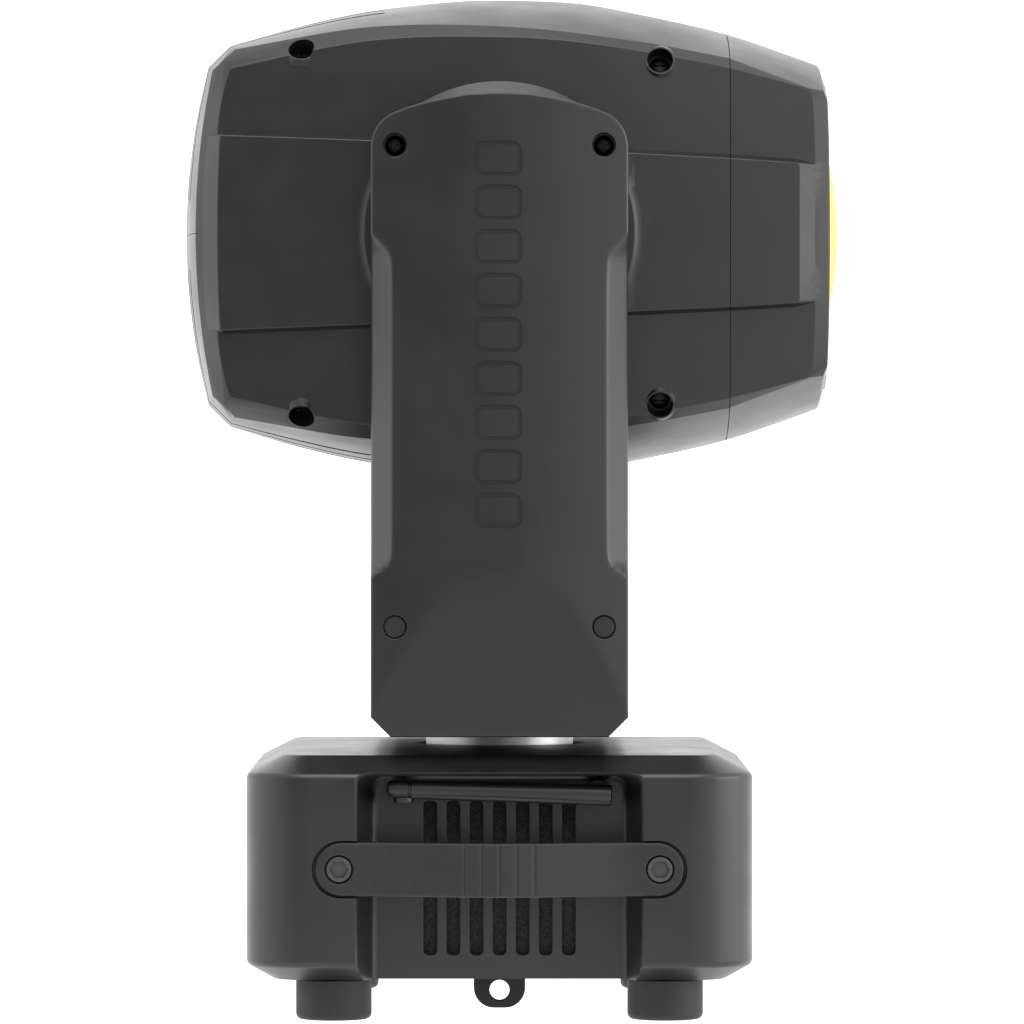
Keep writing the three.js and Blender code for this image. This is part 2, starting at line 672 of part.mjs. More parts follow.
function buildYoke() {
  piece('yoke_channel', yokeChannel(), METAL, 0.4, 0.8);
  piece('yoke_bridge_cover', bridgeCover(), CASING);
  for (const [name, side] of Object.entries(SIDES)) {
    piece(`arm_plate_${name}`, armPlate(side), METAL, 0.4, 0.8);
    piece(`arm_outer_cover_${name}`, armOuterCover(side), CASING);
    piece(`arm_inner_cover_${name}`, armInnerCover(side), CASING);
  }
}

function buildTiltDrive() {
  const { width, height, z, inside, outside } = TILT_MOTOR;
  const large = { centre: [0, TILT_Z], radius: TILT_PULLEY.radius };
  const small = { centre: [0, z], radius: TILT_PULLEY.radius / DRIVE_RATIO };
  const middle = (TILT_PULLEY.inside + TILT_PULLEY.outside) / 2;
  const pulley = (wheel, sides) =>
    rod('y', TILT_PULLEY.inside, TILT_PULLEY.outside, wheel.radius, wheel.centre, sides);
  const spindle = rod('y', outside + GAP, TILT_PULLEY.outside, SHAFT_RADIUS, [0, z], 16);
  const motor = box(-width / 2, width / 2, inside, outside, z - height / 2, z + height / 2);
  piece('tilt_motor', motor, BLACK, 0.5, 0.4);
  piece('tilt_belt', belt('y', middle, large, small), BLACK, 0.9);
  piece('tilt_motor_pulley', pulley(small, 32).add(spindle), METAL, 0.4, 0.8);
  const bore = rod('y', 0, FAR, TRUNNION.bore, [0, TILT_Z], 24);
  piece('tilt_pulley', pulley(large, 36).subtract(bore), METAL, 0.4, 0.8);
}

// ---------------------------------------------------------------- head (heights from the tilt axis)

// Half of the side view on the mid-plane, [x, height]; the shape is the same above and below the axis.
const MID_PROFILE = [
  [-129.6, 0], [-127.9, 28], [-122.5, 61], [-119.4, 69.8], [-111.4, 78.5], [-83.5, 86.8], [-53.7, 93.4],
  [-16.4, 97.6], [5, 98], [33.4, 96.7], [58.3, 92.2], [93.1, 84.3], [122.9, 74.3],
];
const SHOULDER_PROFILE = [
  [-124.3, 55], [-108.7, 75.3], [-52, 83.6], [5, 83.4], [57.5, 77.5], [94, 71], [122, 60],
];
const FLANK_PROFILE = [
  [-114, 41.5], [-109.5, 66.6], [-52, 77.9], [5, 79.2], [40, 76.3], [92.5, 67], [121.7, 57.7],
];
const CROWN = { y: 35, factor: 0.964 }; // height part of the way out, as a share of the mid-plane's
const SHOULDER_Y = 70;

function headForm(inset) {
  const points = [];
  const add = (profile, y) => {
    for (const [x, height] of profile) {
      for (const [sy, sz] of [[1, 1], [1, -1], [-1, 1], [-1, -1]]) {
        points.push([x + (x < 0 ? inset : 0), sy * y, TILT_Z + sz * Math.max(height - inset, 0)]);
      }
    }
  };
  add(MID_PROFILE, 0);
  add(MID_PROFILE.map(([x, height]) => [x, height * CROWN.factor]), CROWN.y);
  add(SHOULDER_PROFILE, SHOULDER_Y - inset);
  add(FLANK_PROFILE, HEAD.halfWidth - inset);
  for (const [x, radius] of [[HEAD.rim, HEAD.rimRadius], [HEAD.front, HEAD.frontRadius]]) {
    for (const [y, z] of arc(0, TILT_Z, radius - inset, 0, 352.5, 47)) {
      points.push([x, y, z]);
    }
  }
  return hull(points);
}

function bandBox(side, outer, grow) {
  const height = SIDE_BAND.halfHeight + grow;
  const inside = SIDE_BAND.inside - grow;
  const rear = SIDE_BAND.rear - grow;
  return sideBox(side, rear, HEAD.seam + FAR, inside, outer, TILT_Z - height, TILT_Z + height);
}

function headShell(up) {
  const z0 = up > 0 ? TILT_Z + GAP / 2 : 0;
  const z1 = up > 0 ? 2 * FAR : TILT_Z - GAP / 2;
  const half = box(-FAR, HEAD.seam - GAP / 2, -FAR, FAR, z0, z1);
  let shell = headForm(0).subtract(headForm(WALL)).intersect(half);
  for (const side of Object.values(SIDES)) {
    shell = shell.subtract(bandBox(side, FAR, GAP));
  }
  return shell;
}

function sideCover(side) {
  const { halfWidth, seam } = HEAD;
  const { footRadius, topRadius, outside } = BOSS;
  const proud = halfWidth + SIDE_BAND.proud;
  const band = bandBox(side, proud, 0).intersect(box(-FAR, seam - GAP, -FAR, FAR, 0, FAR));
  const [from, to] = sideSpan(side, halfWidth + GAP, outside);
  const radii = side > 0 ? [footRadius, topRadius] : [topRadius, footRadius];
  const boss = cone('y', from, to, ...radii, [0, TILT_Z], 40);
  const eye = sideRod(side, SIDE_BAND.inside - OVER, FAR, TRUNNION.headHole, 0, TILT_Z, 32);
  return band.add(boss).subtract(eye);
}

function frontBezel() {
  const front = box(HEAD.seam + GAP / 2, FAR, -FAR, FAR, 0, 2 * FAR);
  const hollow = headForm(WALL).intersect(box(0, BEAM_LIP.back, -FAR, FAR, 0, 2 * FAR));
  const seat = rod('x', LENS.back - GAP, FAR, LENS.radius + 0.6, [0, TILT_Z], 48);
  const beam = rod('x', BEAM_LIP.back - OVER, FAR, BEAM_LIP.radius, [0, TILT_Z], 36);
  return headForm(0).intersect(front).subtract(hollow).subtract(seat).subtract(beam);
}

function frontLens() {
  const profile = [new THREE.Vector2(0, LENS.back), new THREE.Vector2(LENS.radius, LENS.back)];
  const edge = THREE.MathUtils.radToDeg(Math.asin(LENS.radius / LENS.domeRadius));
  for (const [r, x] of arc(0, LENS.apex - LENS.domeRadius, LENS.domeRadius, 90 - edge, 90, 5)) {
    profile.push(new THREE.Vector2(Math.abs(r) < 1e-6 ? 0 : r, x));
  }
  const dome = new THREE.LatheGeometry(profile, 40);
  dome.rotateZ(-Math.PI / 2);
  dome.translate(0, 0, TILT_Z);
  return solid(dome);
}

// A box whose heights are measured from the tilt axis.
function headBox(x0, x1, halfY, z0, z1) {
  return box(x0, x1, -halfY, halfY, TILT_Z + z0, TILT_Z + z1);
}

function headRod(from, to, radius, sides, height = 0) {
  return rod('x', from, to, radius, [0, TILT_Z + height], sides);
}

function headChassis() {
  const { rear, front, floor, halfWidth, thickness, cheekFront, cheekTop } = CHASSIS;
  const parts = [headBox(rear, front, halfWidth, floor, floor + thickness)];
  for (const side of Object.values(SIDES)) {
    const inner = halfWidth - thickness;
    parts.push(sideBox(side, rear, cheekFront, inner, halfWidth, TILT_Z + floor, TILT_Z + cheekTop));
    parts.push(sideRod(side, inner, TRUNNION.reach, TRUNNION.radius, 0, TILT_Z, 40));
  }
  let chassis = joinAll(parts);
  for (const side of Object.values(SIDES)) {
    chassis = chassis.subtract(sideRod(side, halfWidth / 2, FAR, TRUNNION.bore, 0, TILT_Z, 24));
  }
  return chassis;
}

function heatsink() {
  const { half, finTip, plateRear, plateFront, count, pitch, finHalf } = HEATSINK;
  const fins = Array.from({ length: count }, (_, i) => {
    const fin = headBox(finTip, plateRear + OVER, finHalf, -half, half);
    return fin.translate([0, (i - (count - 1) / 2) * pitch, 0]);
  });
  return joinAll([headBox(plateRear, plateFront, half, -half, half), ...fins]);
}

function ledModule() {
  const { rear, front, half, reflectorFront, rearRadius, frontRadius } = LED;
  const board = headBox(rear, front, half, -half, half);
  return board.add(cone('x', front - OVER, reflectorFront, rearRadius, frontRadius, [0, TILT_Z], 32));
}

function fanHousing() {
  const { rear, front, half, duct, hub, rib, ribThickness } = FAN;
  const spiderFront = rear + ribThickness;
  const spider = joinAll([
    headRod(rear, spiderFront, hub, 24),
    headBox(rear, spiderFront, duct + OVER, -rib, rib),
    headBox(rear, spiderFront, rib, -duct - OVER, duct + OVER),
  ]);
  return headBox(rear, front, half, -half, half).subtract(headRod(-FAR, FAR, duct, 32)).add(spider);
}

function fanRotor() {
  const { rear, front, radius, blades, bladeSize, bladePitch, bladeCentre } = ROTOR;
  const parts = [headRod(rear, front, radius, 28)];
  for (let i = 0; i < blades; i += 1) {
    const blade = new THREE.BoxGeometry(...bladeSize);
    blade.rotateZ(bladePitch);
    blade.translate((rear + front) / 2, 0, bladeCentre);
    blade.rotateX((i * 2 * Math.PI) / blades);
    blade.translate(0, 0, TILT_Z);
    parts.push(solid(blade));
  }
  return joinAll(parts);
}

function colorWheel() {
  const { rear, front, radius, axis, hubRear, hubFront, hubRadius, filters, filterRadius, circle } = COLOR;
  const hub = headRod(hubRear, hubFront, hubRadius, 16, axis);
  let wheel = headRod(rear, front, radius, 32, axis).add(hub);
  for (let i = 0; i < filters; i += 1) {
    const angle = -Math.PI / 2 + (i * 2 * Math.PI) / filters;
    const hole = headRod(-FAR, FAR, filterRadius, 10, axis + circle * Math.sin(angle));
    wheel = wheel.subtract(hole.translate([0, circle * Math.cos(angle), 0]));
  }
  return wheel;
}

function colorWheelMotor() {
  const { rear, front, half, below, above } = COLOR_MOTOR;
  return headBox(rear, front, half, COLOR.axis - below, COLOR.axis + above);
}

// A lens cell: a ring with a thin glass disc at its front, on a shoe that slides on the chassis floor.
function focusCarriage() {
  const { rear, front, radius, bore, glass, shoeHalf, shoeBottom, shoeTop, shoeOver } = FOCUS;
  const ring = headRod(rear, front, radius, 32).subtract(headRod(rear - OVER, front - glass, bore, 28));
  return ring.add(headBox(rear - shoeOver, front + shoeOver, shoeHalf, shoeBottom, shoeTop));
}

function buildHead() {
  piece('head_chassis', headChassis(), METAL, 0.4, 0.8);
  piece('head_top_shell', headShell(1), CASING);
  piece('head_bottom_shell', headShell(-1), CASING);
  for (const [name, side] of Object.entries(SIDES)) {
    piece(`head_side_cover_${name}`, sideCover(side), CASING);
  }
  piece('front_bezel', frontBezel(), CASING);
  piece('front_lens', frontLens(), 0xfff6a8, 0.05);
  piece('heatsink', heatsink(), METAL, 0.4, 0.9);
  piece('led_module', ledModule(), 0xe8e2b0, 0.3);
  piece('fan_housing', fanHousing(), BLACK, 0.6);
  piece('fan_rotor', fanRotor(), BLACK, 0.5);
  piece('color_wheel', colorWheel(), METAL, 0.3, 0.8);
  piece('color_wheel_motor', colorWheelMotor(), BLACK, 0.5, 0.4);
  piece('focus_carriage', focusCarriage(), BLACK, 0.4);
}

buildBase();
buildPanDrive();
buildYoke();
buildTiltDrive();
buildHead();

export default light;
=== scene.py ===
"""The looks of the moving head light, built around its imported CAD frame.

Shapes are worked out in millimetres in the frame's own axes: +X is the beam, +Y is left, +Z is up, and the
origin is on the pan axis at the underside of the base. "right" is the -Y side.
"""

import json
import math

import bmesh
import bpy
import numpy as np
from mathutils import Matrix, Vector


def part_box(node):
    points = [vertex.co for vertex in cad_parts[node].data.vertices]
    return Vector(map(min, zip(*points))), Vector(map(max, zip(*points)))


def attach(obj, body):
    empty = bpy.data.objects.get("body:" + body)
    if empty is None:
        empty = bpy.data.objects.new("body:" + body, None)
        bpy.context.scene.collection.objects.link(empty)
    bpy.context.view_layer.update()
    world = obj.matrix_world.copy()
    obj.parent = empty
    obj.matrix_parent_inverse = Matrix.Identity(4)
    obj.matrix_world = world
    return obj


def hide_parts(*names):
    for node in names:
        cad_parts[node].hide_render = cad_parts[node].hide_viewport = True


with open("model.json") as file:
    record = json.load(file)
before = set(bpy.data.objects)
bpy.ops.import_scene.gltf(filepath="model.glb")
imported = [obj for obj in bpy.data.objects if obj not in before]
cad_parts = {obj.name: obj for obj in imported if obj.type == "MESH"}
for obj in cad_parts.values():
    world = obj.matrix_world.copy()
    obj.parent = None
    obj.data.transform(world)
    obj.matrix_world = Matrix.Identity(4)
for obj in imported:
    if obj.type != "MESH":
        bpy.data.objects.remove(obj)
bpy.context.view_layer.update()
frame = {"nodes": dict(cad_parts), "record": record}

MM = 0.001
SIDES = {"right": -1, "left": 1}


def box_mm(node):
    """The lowest and highest corners of a CAD node, in millimetres."""
    low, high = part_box(node)
    return low / MM, high / MM


# ---- driving dimensions, from the frame

BASE_HIGH = box_mm("base_shell")[1]
ARM_LOW, ARM_HIGH = box_mm("arm_outer_cover_left")
PULLEY_LOW, PULLEY_HIGH = box_mm("tilt_pulley")
TILT_Z = (PULLEY_LOW.z + PULLEY_HIGH.z) / 2
SIDE_Y = 80.0  # half the head's width over its side panels, before they bulge
BAY_FLOOR = 99.0  # the back wall of each handle bay
SEAM_X = box_mm("head_top_shell")[1].x
TRUNNION_RADIUS = 14.0


# ---- outlines


def rounded(corners, radius, steps=4, closed=True):
    """The outline through the corners, each turned into an arc. radius is one number or one per corner."""
    radii = radius if isinstance(radius, (list, tuple)) else [radius] * len(corners)
    result = []
    for i, corner in enumerate(corners):
        end = not closed and i in (0, len(corners) - 1)
        if end or radii[i] == 0:
            result.append(tuple(corner))
            continue
        middle = Vector(corner)
        before = (Vector(corners[i - 1]) - middle).normalized()
        after = (Vector(corners[(i + 1) % len(corners)]) - middle).normalized()
        half = before.angle(after) / 2
        centre = middle + (before + after).normalized() * (radii[i] / math.sin(half))
        start = middle + before * (radii[i] / math.tan(half)) - centre
        stop = middle + after * (radii[i] / math.tan(half)) - centre
        turn = math.pi - 2 * half
        for k in range(steps + 1):
            share = k / steps
            swing = start * math.sin((1 - share) * turn) + stop * math.sin(share * turn)
            result.append(tuple(centre + swing / math.sin(turn)))
    return result


def rectangle(u0, u1, v0, v1, radius, steps=4):
    return rounded([(u0, v0), (u1, v0), (u1, v1), (u0, v1)], radius, steps)


def circle(radius, centre=(0, 0), sides=48):
    turns = [2 * math.pi * i / sides for i in range(sides)]
    return [(centre[0] + radius * math.cos(a), centre[1] + radius * math.sin(a)) for a in turns]


def stadium(half_length, half_height, centre):
    """A bar with round ends."""
    u, v = centre
    sides = (u - half_length, u + half_length, v - half_height, v + half_height)
    return rectangle(*sides, half_height - 0.01, 10)


def shrink(outline, amount):
    """The outline moved inwards by amount, or outwards where amount is negative."""
    if amount == 0:
        return list(outline)
    points = [Vector(p) for p in outline]
    area = sum(a.x * b.y - b.x * a.y for a, b in zip(points, points[1:] + points[:1]))
    sign = 1 if area > 0 else -1
    result = []
    for i, point in enumerate(points):
        normals = []
        for a, b in ((points[i - 1], point), (point, points[(i + 1) % len(points)])):
            edge = (b - a).normalized()
            normals.append(Vector((-edge.y, edge.x)) * sign)
        share = 1 + max(normals[0].dot(normals[1]), -0.6)
        result.append(tuple(point + (normals[0] + normals[1]) * (amount / share)))
    return result


def on_axis(axis, outline, at):
    """Puts a flat outline in space, at one position along an axis."""
    if axis == "x":
        return [(at, u, v) for u, v in outline]
    if axis == "y":
        return [(u, at, v) for u, v in outline]
    return [(u, v, at) for u, v in outline]


# ---- solids


def finished(work):
    """Turns a bmesh into an object, with its faces turned outwards."""
    bmesh.ops.recalc_face_normals(work, faces=work.faces)
    mesh = bpy.data.meshes.new("shape")
    work.to_mesh(mesh)
    work.free()
    shape = bpy.data.objects.new("shape", mesh)
    bpy.context.scene.collection.objects.link(shape)
    return shape


def solid(points, faces):
    """A closed mesh object from points in millimetres."""
    work = bmesh.new()
    corners = [work.verts.new(Vector(p) * MM) for p in points]
    for face in faces:
        work.faces.new([corners[i] for i in face])
    bmesh.ops.remove_doubles(work, verts=work.verts, dist=1e-7)
    return finished(work)


def hull(points):
    """The closed convex shape round a set of points."""
    work = bmesh.new()
    for point in points:
        work.verts.new(Vector(point) * MM)
    bmesh.ops.remove_doubles(work, verts=work.verts, dist=2e-5)
    bmesh.ops.convex_hull(work, input=work.verts)
    loose = [v for v in work.verts if not v.link_faces]
    bmesh.ops.delete(work, geom=loose, context="VERTS")
    return finished(work)


def loft(rings, looped=False):
    """Joins closed rings that have the same number of points, and closes both ends. Where looped, the last
    ring joins the first one instead."""
    count = len(rings[0])
    last = (len(rings) - 1) * count
    faces = [] if looped else [tuple(range(count))]
    for r in range(len(rings) if looped else len(rings) - 1):
        near, far = r * count, (r + 1) % len(rings) * count
        for i in range(count):
            j = (i + 1) % count
            faces.append((near + i, near + j, far + j, far + i))
    if not looped:
        faces.append(tuple(range(last, last + count)))
    return solid([p for ring in rings for p in ring], faces)


def stack(axis, outline, steps):
    """A loft of one outline along an axis. Each step is (position, inset)."""
    return loft([on_axis(axis, shrink(outline, inset), at) for at, inset in steps])


def turned(axis, profile, centre=(0, 0), sides=48, looped=False):
    """A shape turned on a lathe along an axis, or a ring where looped. The profile is a list of (radius,
    position)."""
    return loft([on_axis(axis, circle(radius, centre, sides), at) for radius, at in profile], looped)


def plate(axis, outline, start, stop, edge=0.6):
    """A flat plate between two positions, with both rims rounded by edge."""
    sign = 1 if stop > start else -1
    soft = [(edge, 0.0), (edge * 0.3, edge * 0.3), (0.0, edge)]
    steps = [(start + sign * depth, inset) for inset, depth in soft]
    steps += [(stop - sign * depth, inset) for inset, depth in reversed(soft)]
    return stack(axis, outline, steps)


def cutter(axis, outline, mouth, floor, flare=0.5, over=3.0):
    """A tool that cuts a pocket from mouth to floor and rounds its mouth by flare."""
    sign = 1 if floor > mouth else -1
    return stack(axis, outline, [
        (mouth - sign * over, -flare),
        (mouth, -flare),
        (mouth + sign * flare * 0.3, -flare * 0.3),
        (mouth + sign * flare, 0),
        (floor, 0),
    ])


def block(x0, x1, y0, y1, z0, z1):
    return stack("z", [(x0, y0), (x1, y0), (x1, y1), (x0, y1)], [(z0, 0), (z1, 0)])


def combine(shape, operation, tools):
    """Adds, cuts or intersects a shape with tools, which are used up."""
    for tool in tools:
        modifier = shape.modifiers.new("shape", "BOOLEAN")
        modifier.operation = operation
        modifier.object = tool
        modifier.solver = "MANIFOLD"
    bpy.context.view_layer.update()
    depsgraph = bpy.context.evaluated_depsgraph_get()
    mesh = bpy.data.meshes.new_from_object(shape.evaluated_get(depsgraph))
    shape.modifiers.clear()
    shape.data = mesh
    for tool in tools:
        bpy.data.objects.remove(tool)
    return shape


def cut(shape, *tools):
    return combine(shape, "DIFFERENCE", tools)


def join(shape, *tools):
    return combine(shape, "UNION", tools)


def common(shape, *tools):
    return combine(shape, "INTERSECT", tools)


def moved(shape, matrix):
    """Moves a shape's mesh by a matrix whose translation is in millimetres."""
    place = matrix.copy()
    place.translation = matrix.translation * MM
    shape.data.transform(place)
    if place.determinant() < 0:
        shape.data.flip_normals()
    return shape


def mirrored(shape):
    """The shape's mirror image across the light's mid-plane."""
    return moved(shape, Matrix.Diagonal((1, -1, 1, 1)))


def on_side(side, shape):
    """A shape made for the left side, or its mirror image where side is -1."""
    return mirrored(shape) if side < 0 else shape


def aimed(shape, place, direction):
    """Turns a shape that was made along +Z so that it points along direction, with its origin at place."""
    turn = Vector(direction).to_track_quat("Z", "Y").to_matrix().to_4x4()
    return moved(shape, Matrix.Translation(place) @ turn)


def complete(shape, name, body, material, nodes=(), sharp=30, finish=None):
    """Names a finished shape, gives it its material and normals, and lets it ride on its body. finish is a
    material of its own, where the slot's one doesn't suit it."""
    shape.name = name
    shape.data.name = name
    shape.data.materials.clear()
    shape.data.materials.append(finish or MATERIALS[material])
    shape.data.shade_smooth()
    shape.data.set_sharp_from_angle(angle=math.radians(sharp))
    weighted = shape.modifiers.new("weighted normals", "WEIGHTED_NORMAL")
    weighted.keep_sharp = True
    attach(shape, body)
    if nodes:
        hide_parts(*nodes)
    return shape


# ---- materials


def mapped(tree, value, reach, values, ease="LINEAR"):
    """Takes a value from one reach of numbers to another one."""
    node = tree.nodes.new("ShaderNodeMapRange")
    node.interpolation_type = ease
    for name, number in zip(("From Min", "From Max", "To Min", "To Max"), (*reach, *values)):
        node.inputs[name].default_value = number
    tree.links.new(value, node.inputs["Value"])
    return node.outputs["Result"]


class Nodes:
    """A material's node tree, with short ways to add the nodes that every finish here uses."""

    def __init__(self, name):
        self.material = bpy.data.materials.new(name)
        self.material.use_nodes = True
        self.tree = self.material.node_tree
        self.shader = self.tree.nodes["Principled BSDF"]
        self.place = self.tree.nodes.new("ShaderNodeTexCoord").outputs["Object"]

    def link(self, output, target):
        self.tree.links.new(output, target)

    def noise(self, scale, detail=3.0, place=None):
        node = self.tree.nodes.new("ShaderNodeTexNoise")
        node.inputs["Scale"].default_value = scale
        node.inputs["Detail"].default_value = detail
        node.inputs["Roughness"].default_value = 0.55
        self.link(place or self.place, node.inputs["Vector"])
        return node.outputs["Fac"]

    def cells(self, scale):
        node = self.tree.nodes.new("ShaderNodeTexVoronoi")
        node.inputs["Scale"].default_value = scale
        self.link(self.place, node.inputs["Vector"])
        return node.outputs["Distance"]

    def ramp(self, value, low, high, from_low=0.3, from_high=0.7):
        node = self.tree.nodes.new("ShaderNodeValToRGB")
        node.color_ramp.elements[0].position = from_low
        node.color_ramp.elements[0].color = (*low, 1)
        node.color_ramp.elements[1].position = from_high
        node.color_ramp.elements[1].color = (*high, 1)
        self.link(value, node.inputs["Fac"])
        return node.outputs["Color"]

    def colour(self, value, *ramp):
        self.link(self.ramp(value, *ramp), self.shader.inputs["Base Color"])

    def gloss(self, value, low, high):
        self.link(mapped(self.tree, value, (0.3, 0.7), (low, high)), self.shader.inputs["Roughness"])

    def relief(self, height, strength, depth_mm):
        node = self.tree.nodes.new("ShaderNodeBump")
        node.inputs["Strength"].default_value = strength
        node.inputs["Distance"].default_value = depth_mm * MM
        self.link(height, node.inputs["Height"])
        self.link(node.outputs["Normal"], self.shader.inputs["Normal"])

    def set(self, **values):
        for name, value in values.items():
            self.shader.inputs[name.replace("_", " ")].default_value = value


def grey(value, tint=(1.0, 1.0, 1.0)):
    return tuple(value * t for t in tint)


def moulded(name, shade, roughness, grain=2600, depth_mm=0.02, tint=(0.98, 1.0, 1.03)):
    """Moulded plastic: a fine spark-eroded grain, with faint cloudy changes in shade and gloss."""
    n = Nodes(name)
    clouds = n.noise(38, 4)
    n.colour(clouds, grey(shade * 0.88, tint), grey(shade * 1.12, tint))
    n.gloss(clouds, roughness - 0.04, roughness + 0.05)
    n.relief(n.noise(grain, 2), 0.35, depth_mm)
    return n.material


def rubber(name, shade, roughness, grain=1400):
    """Matte rubber: soft mottling, dusty light patches and a slightly open surface."""
    n = Nodes(name)
    dust = n.noise(90, 5)
    n.colour(dust, grey(shade * 0.8), grey(shade * 1.35), 0.35, 0.75)
    n.gloss(dust, roughness - 0.05, roughness + 0.08)
    n.relief(n.noise(grain, 3), 0.5, 0.03)
    n.set(Specular_IOR_Level=0.4)
    return n.material


def metal(name, colour, roughness, streak=(1, 1, 1)):
    """Plated or machined metal: fine tool marks stretched by streak, with blotchy gloss."""
    n = Nodes(name)
    mapping = n.tree.nodes.new("ShaderNodeMapping")
    mapping.inputs["Scale"].default_value = streak
    n.link(n.place, mapping.inputs["Vector"])
    marks = n.noise(900, 3, mapping.outputs["Vector"])
    blotches = n.noise(60, 4)
    low = tuple(c * 0.85 for c in colour)
    n.colour(blotches, low, colour)
    n.gloss(marks, roughness - 0.06, roughness + 0.1)
    n.relief(marks, 0.25, 0.02)
    n.set(Metallic=1.0)
    return n.material


def display_glass(name):
    """A dark display window: deep blue-black with faint rows behind a glossy coat."""
    n = Nodes(name)
    rows = n.tree.nodes.new("ShaderNodeTexWave")
    rows.bands_direction = "Z"
    rows.inputs["Scale"].default_value = 160
    n.link(n.place, rows.inputs["Vector"])
    n.colour(rows.outputs["Fac"], (0.004, 0.007, 0.012), (0.012, 0.02, 0.035))
    n.gloss(n.noise(300), 0.04, 0.1)
    n.set(Coat_Weight=1.0, Coat_Roughness=0.03)
    return n.material


def circuit_board(name):
    """Solder mask with paler traces."""
    n = Nodes(name)
    traces = n.cells(260)
    n.colour(traces, (0.01, 0.09, 0.035), (0.025, 0.2, 0.08), 0.25, 0.32)
    n.gloss(n.noise(500), 0.25, 0.4)
    n.relief(traces, 0.3, 0.05)
    return n.material


def lit_lens(name):
    """The front lens, lit warm yellow from behind, with fine moulded rings round the beam axis."""
    n = Nodes(name)
    centre = n.tree.nodes.new("ShaderNodeMapping")
    centre.inputs["Location"].default_value = (0, 0, -TILT_Z * MM)
    n.link(n.place, centre.inputs["Vector"])
    rings = n.tree.nodes.new("ShaderNodeTexWave")
    rings.wave_type = "RINGS"
    rings.rings_direction = "X"
    rings.inputs["Scale"].default_value = 95
    rings.inputs["Distortion"].default_value = 0.2
    n.link(centre.outputs["Vector"], rings.inputs["Vector"])
    facets = n.cells(120)
    n.link(n.ramp(facets, (1.0, 0.95, 0.24), (1.0, 1.0, 0.34), 0.1, 0.6), n.shader.inputs["Emission Color"])
    n.colour(facets, (0.08, 0.076, 0.03), (0.09, 0.088, 0.045), 0.1, 0.6)
    n.gloss(n.noise(200), 0.06, 0.14)
    n.relief(rings.outputs["Fac"], 0.3, 0.3)
    n.set(Emission_Strength=1.0, Specular_IOR_Level=0.0)
    return n.material


def filter_foam(name):
    """Open-cell dust filter behind the vent slots."""
    n = Nodes(name)
    holes = n.cells(900)
    n.colour(holes, grey(0.009), grey(0.022), 0.15, 0.6)
    n.gloss(n.noise(400), 0.8, 0.95)
    n.relief(holes, 1.0, 0.4)
    n.set(Specular_IOR_Level=0.15)
    return n.material


def ribbed_belt(name):
    """Rubber belt with a fabric back."""
    n = Nodes(name)
    weave = n.cells(1500)
    n.colour(weave, grey(0.008), grey(0.03), 0.2, 0.6)
    n.gloss(n.noise(300), 0.7, 0.85)
    n.relief(weave, 0.8, 0.1)
    return n.material


MATERIALS = {
    "casing": moulded("casing", 0.004, 0.38),
    "strap": rubber("strap", 0.007, 0.5),
    "foot_rubber": rubber("foot_rubber", 0.004, 0.6),
    "black_steel": metal("black_steel", (0.028, 0.028, 0.029), 0.42),
    "plated_steel": metal("plated_steel", (0.62, 0.62, 0.63), 0.3, (1, 1, 6)),
    "antenna_plastic": moulded("antenna_plastic", 0.003, 0.4, 3500, 0.01),
    "panel_plastic": moulded("panel_plastic", 0.01, 0.38, 3200, 0.012),
    "display": display_glass("display"),
    "button_rubber": rubber("button_rubber", 0.09, 0.6, 2200),
    "socket_plastic": moulded("socket_plastic", 0.01, 0.4, 2000, 0.015),
    "board": circuit_board("board"),
    "aluminium": metal("aluminium", (0.45, 0.455, 0.465), 0.34, (1, 1, 8)),
    "motor": metal("motor", (0.03, 0.03, 0.032), 0.45),
    "belt": ribbed_belt("belt"),
    "lens_glass": lit_lens("lens_glass"),
    "led": moulded("led", 0.25, 0.35, tint=(1.0, 0.85, 0.3)),
}
FILTER = filter_foam("filter_foam")
BOLT_STEEL = metal("bolt_steel", (0.085, 0.085, 0.087), 0.45)


def dress_frame():
    """Gives every CAD node that stays in view the material of its own slot."""
    for part in frame["record"]["subparts"]:
        node = frame["nodes"][part["node"]]
        node.data.materials.clear()
        node.data.materials.append(MATERIALS[part["material_slot"]])


def screw(radius=3.6, height=2.2):
    """A pan-head screw with a cross recess, standing on the XY plane."""
    crown = height * 0.55
    profile = [(radius, 0), (radius, crown * 0.5), (radius * 0.93, crown), (radius * 0.72, height * 0.86)]
    head = turned("z", [(radius * 0.8, -3)] + profile + [(radius * 0.35, height)], sides=32)
    wing = radius * 0.62
    slot = radius * 0.13
    cross = [block(-u, u, -v, v, height * 0.2, height + 1) for u, v in ((wing, slot), (slot, wing))]
    return cut(head, *cross)


# ---- base

BASE_CORNER = 25.4
BASE_WALL = 3.0
BAY = {"half_floor": 52.0, "half_mouth": 56.3, "top": 82.4, "toe": 3.0, "corner": 6.0}
VENT = {"count": 7, "pitch": 9.3, "width": 5.3, "low": 9.7, "high": 71.7}
STRAP_LOW, STRAP_HIGH = box_mm("handle_left")
STRAP_Z = (STRAP_LOW.z + STRAP_HIGH.z) / 2
STRAP = {"half_length": STRAP_HIGH.x - 1.1, "thickness": 5.0, "half_bow": 57}
STRAP["radius"] = (STRAP_HIGH.z - STRAP_LOW.z) / 2
STRAP_GROOVE = {"places": (-14, -7, 0, 7, 14), "depth": 0.5, "half_width": 0.7}
BOLT_X = 64.3
PANEL_LOW, PANEL_HIGH = box_mm("control_panel")
HUB_HOLE = 34.2


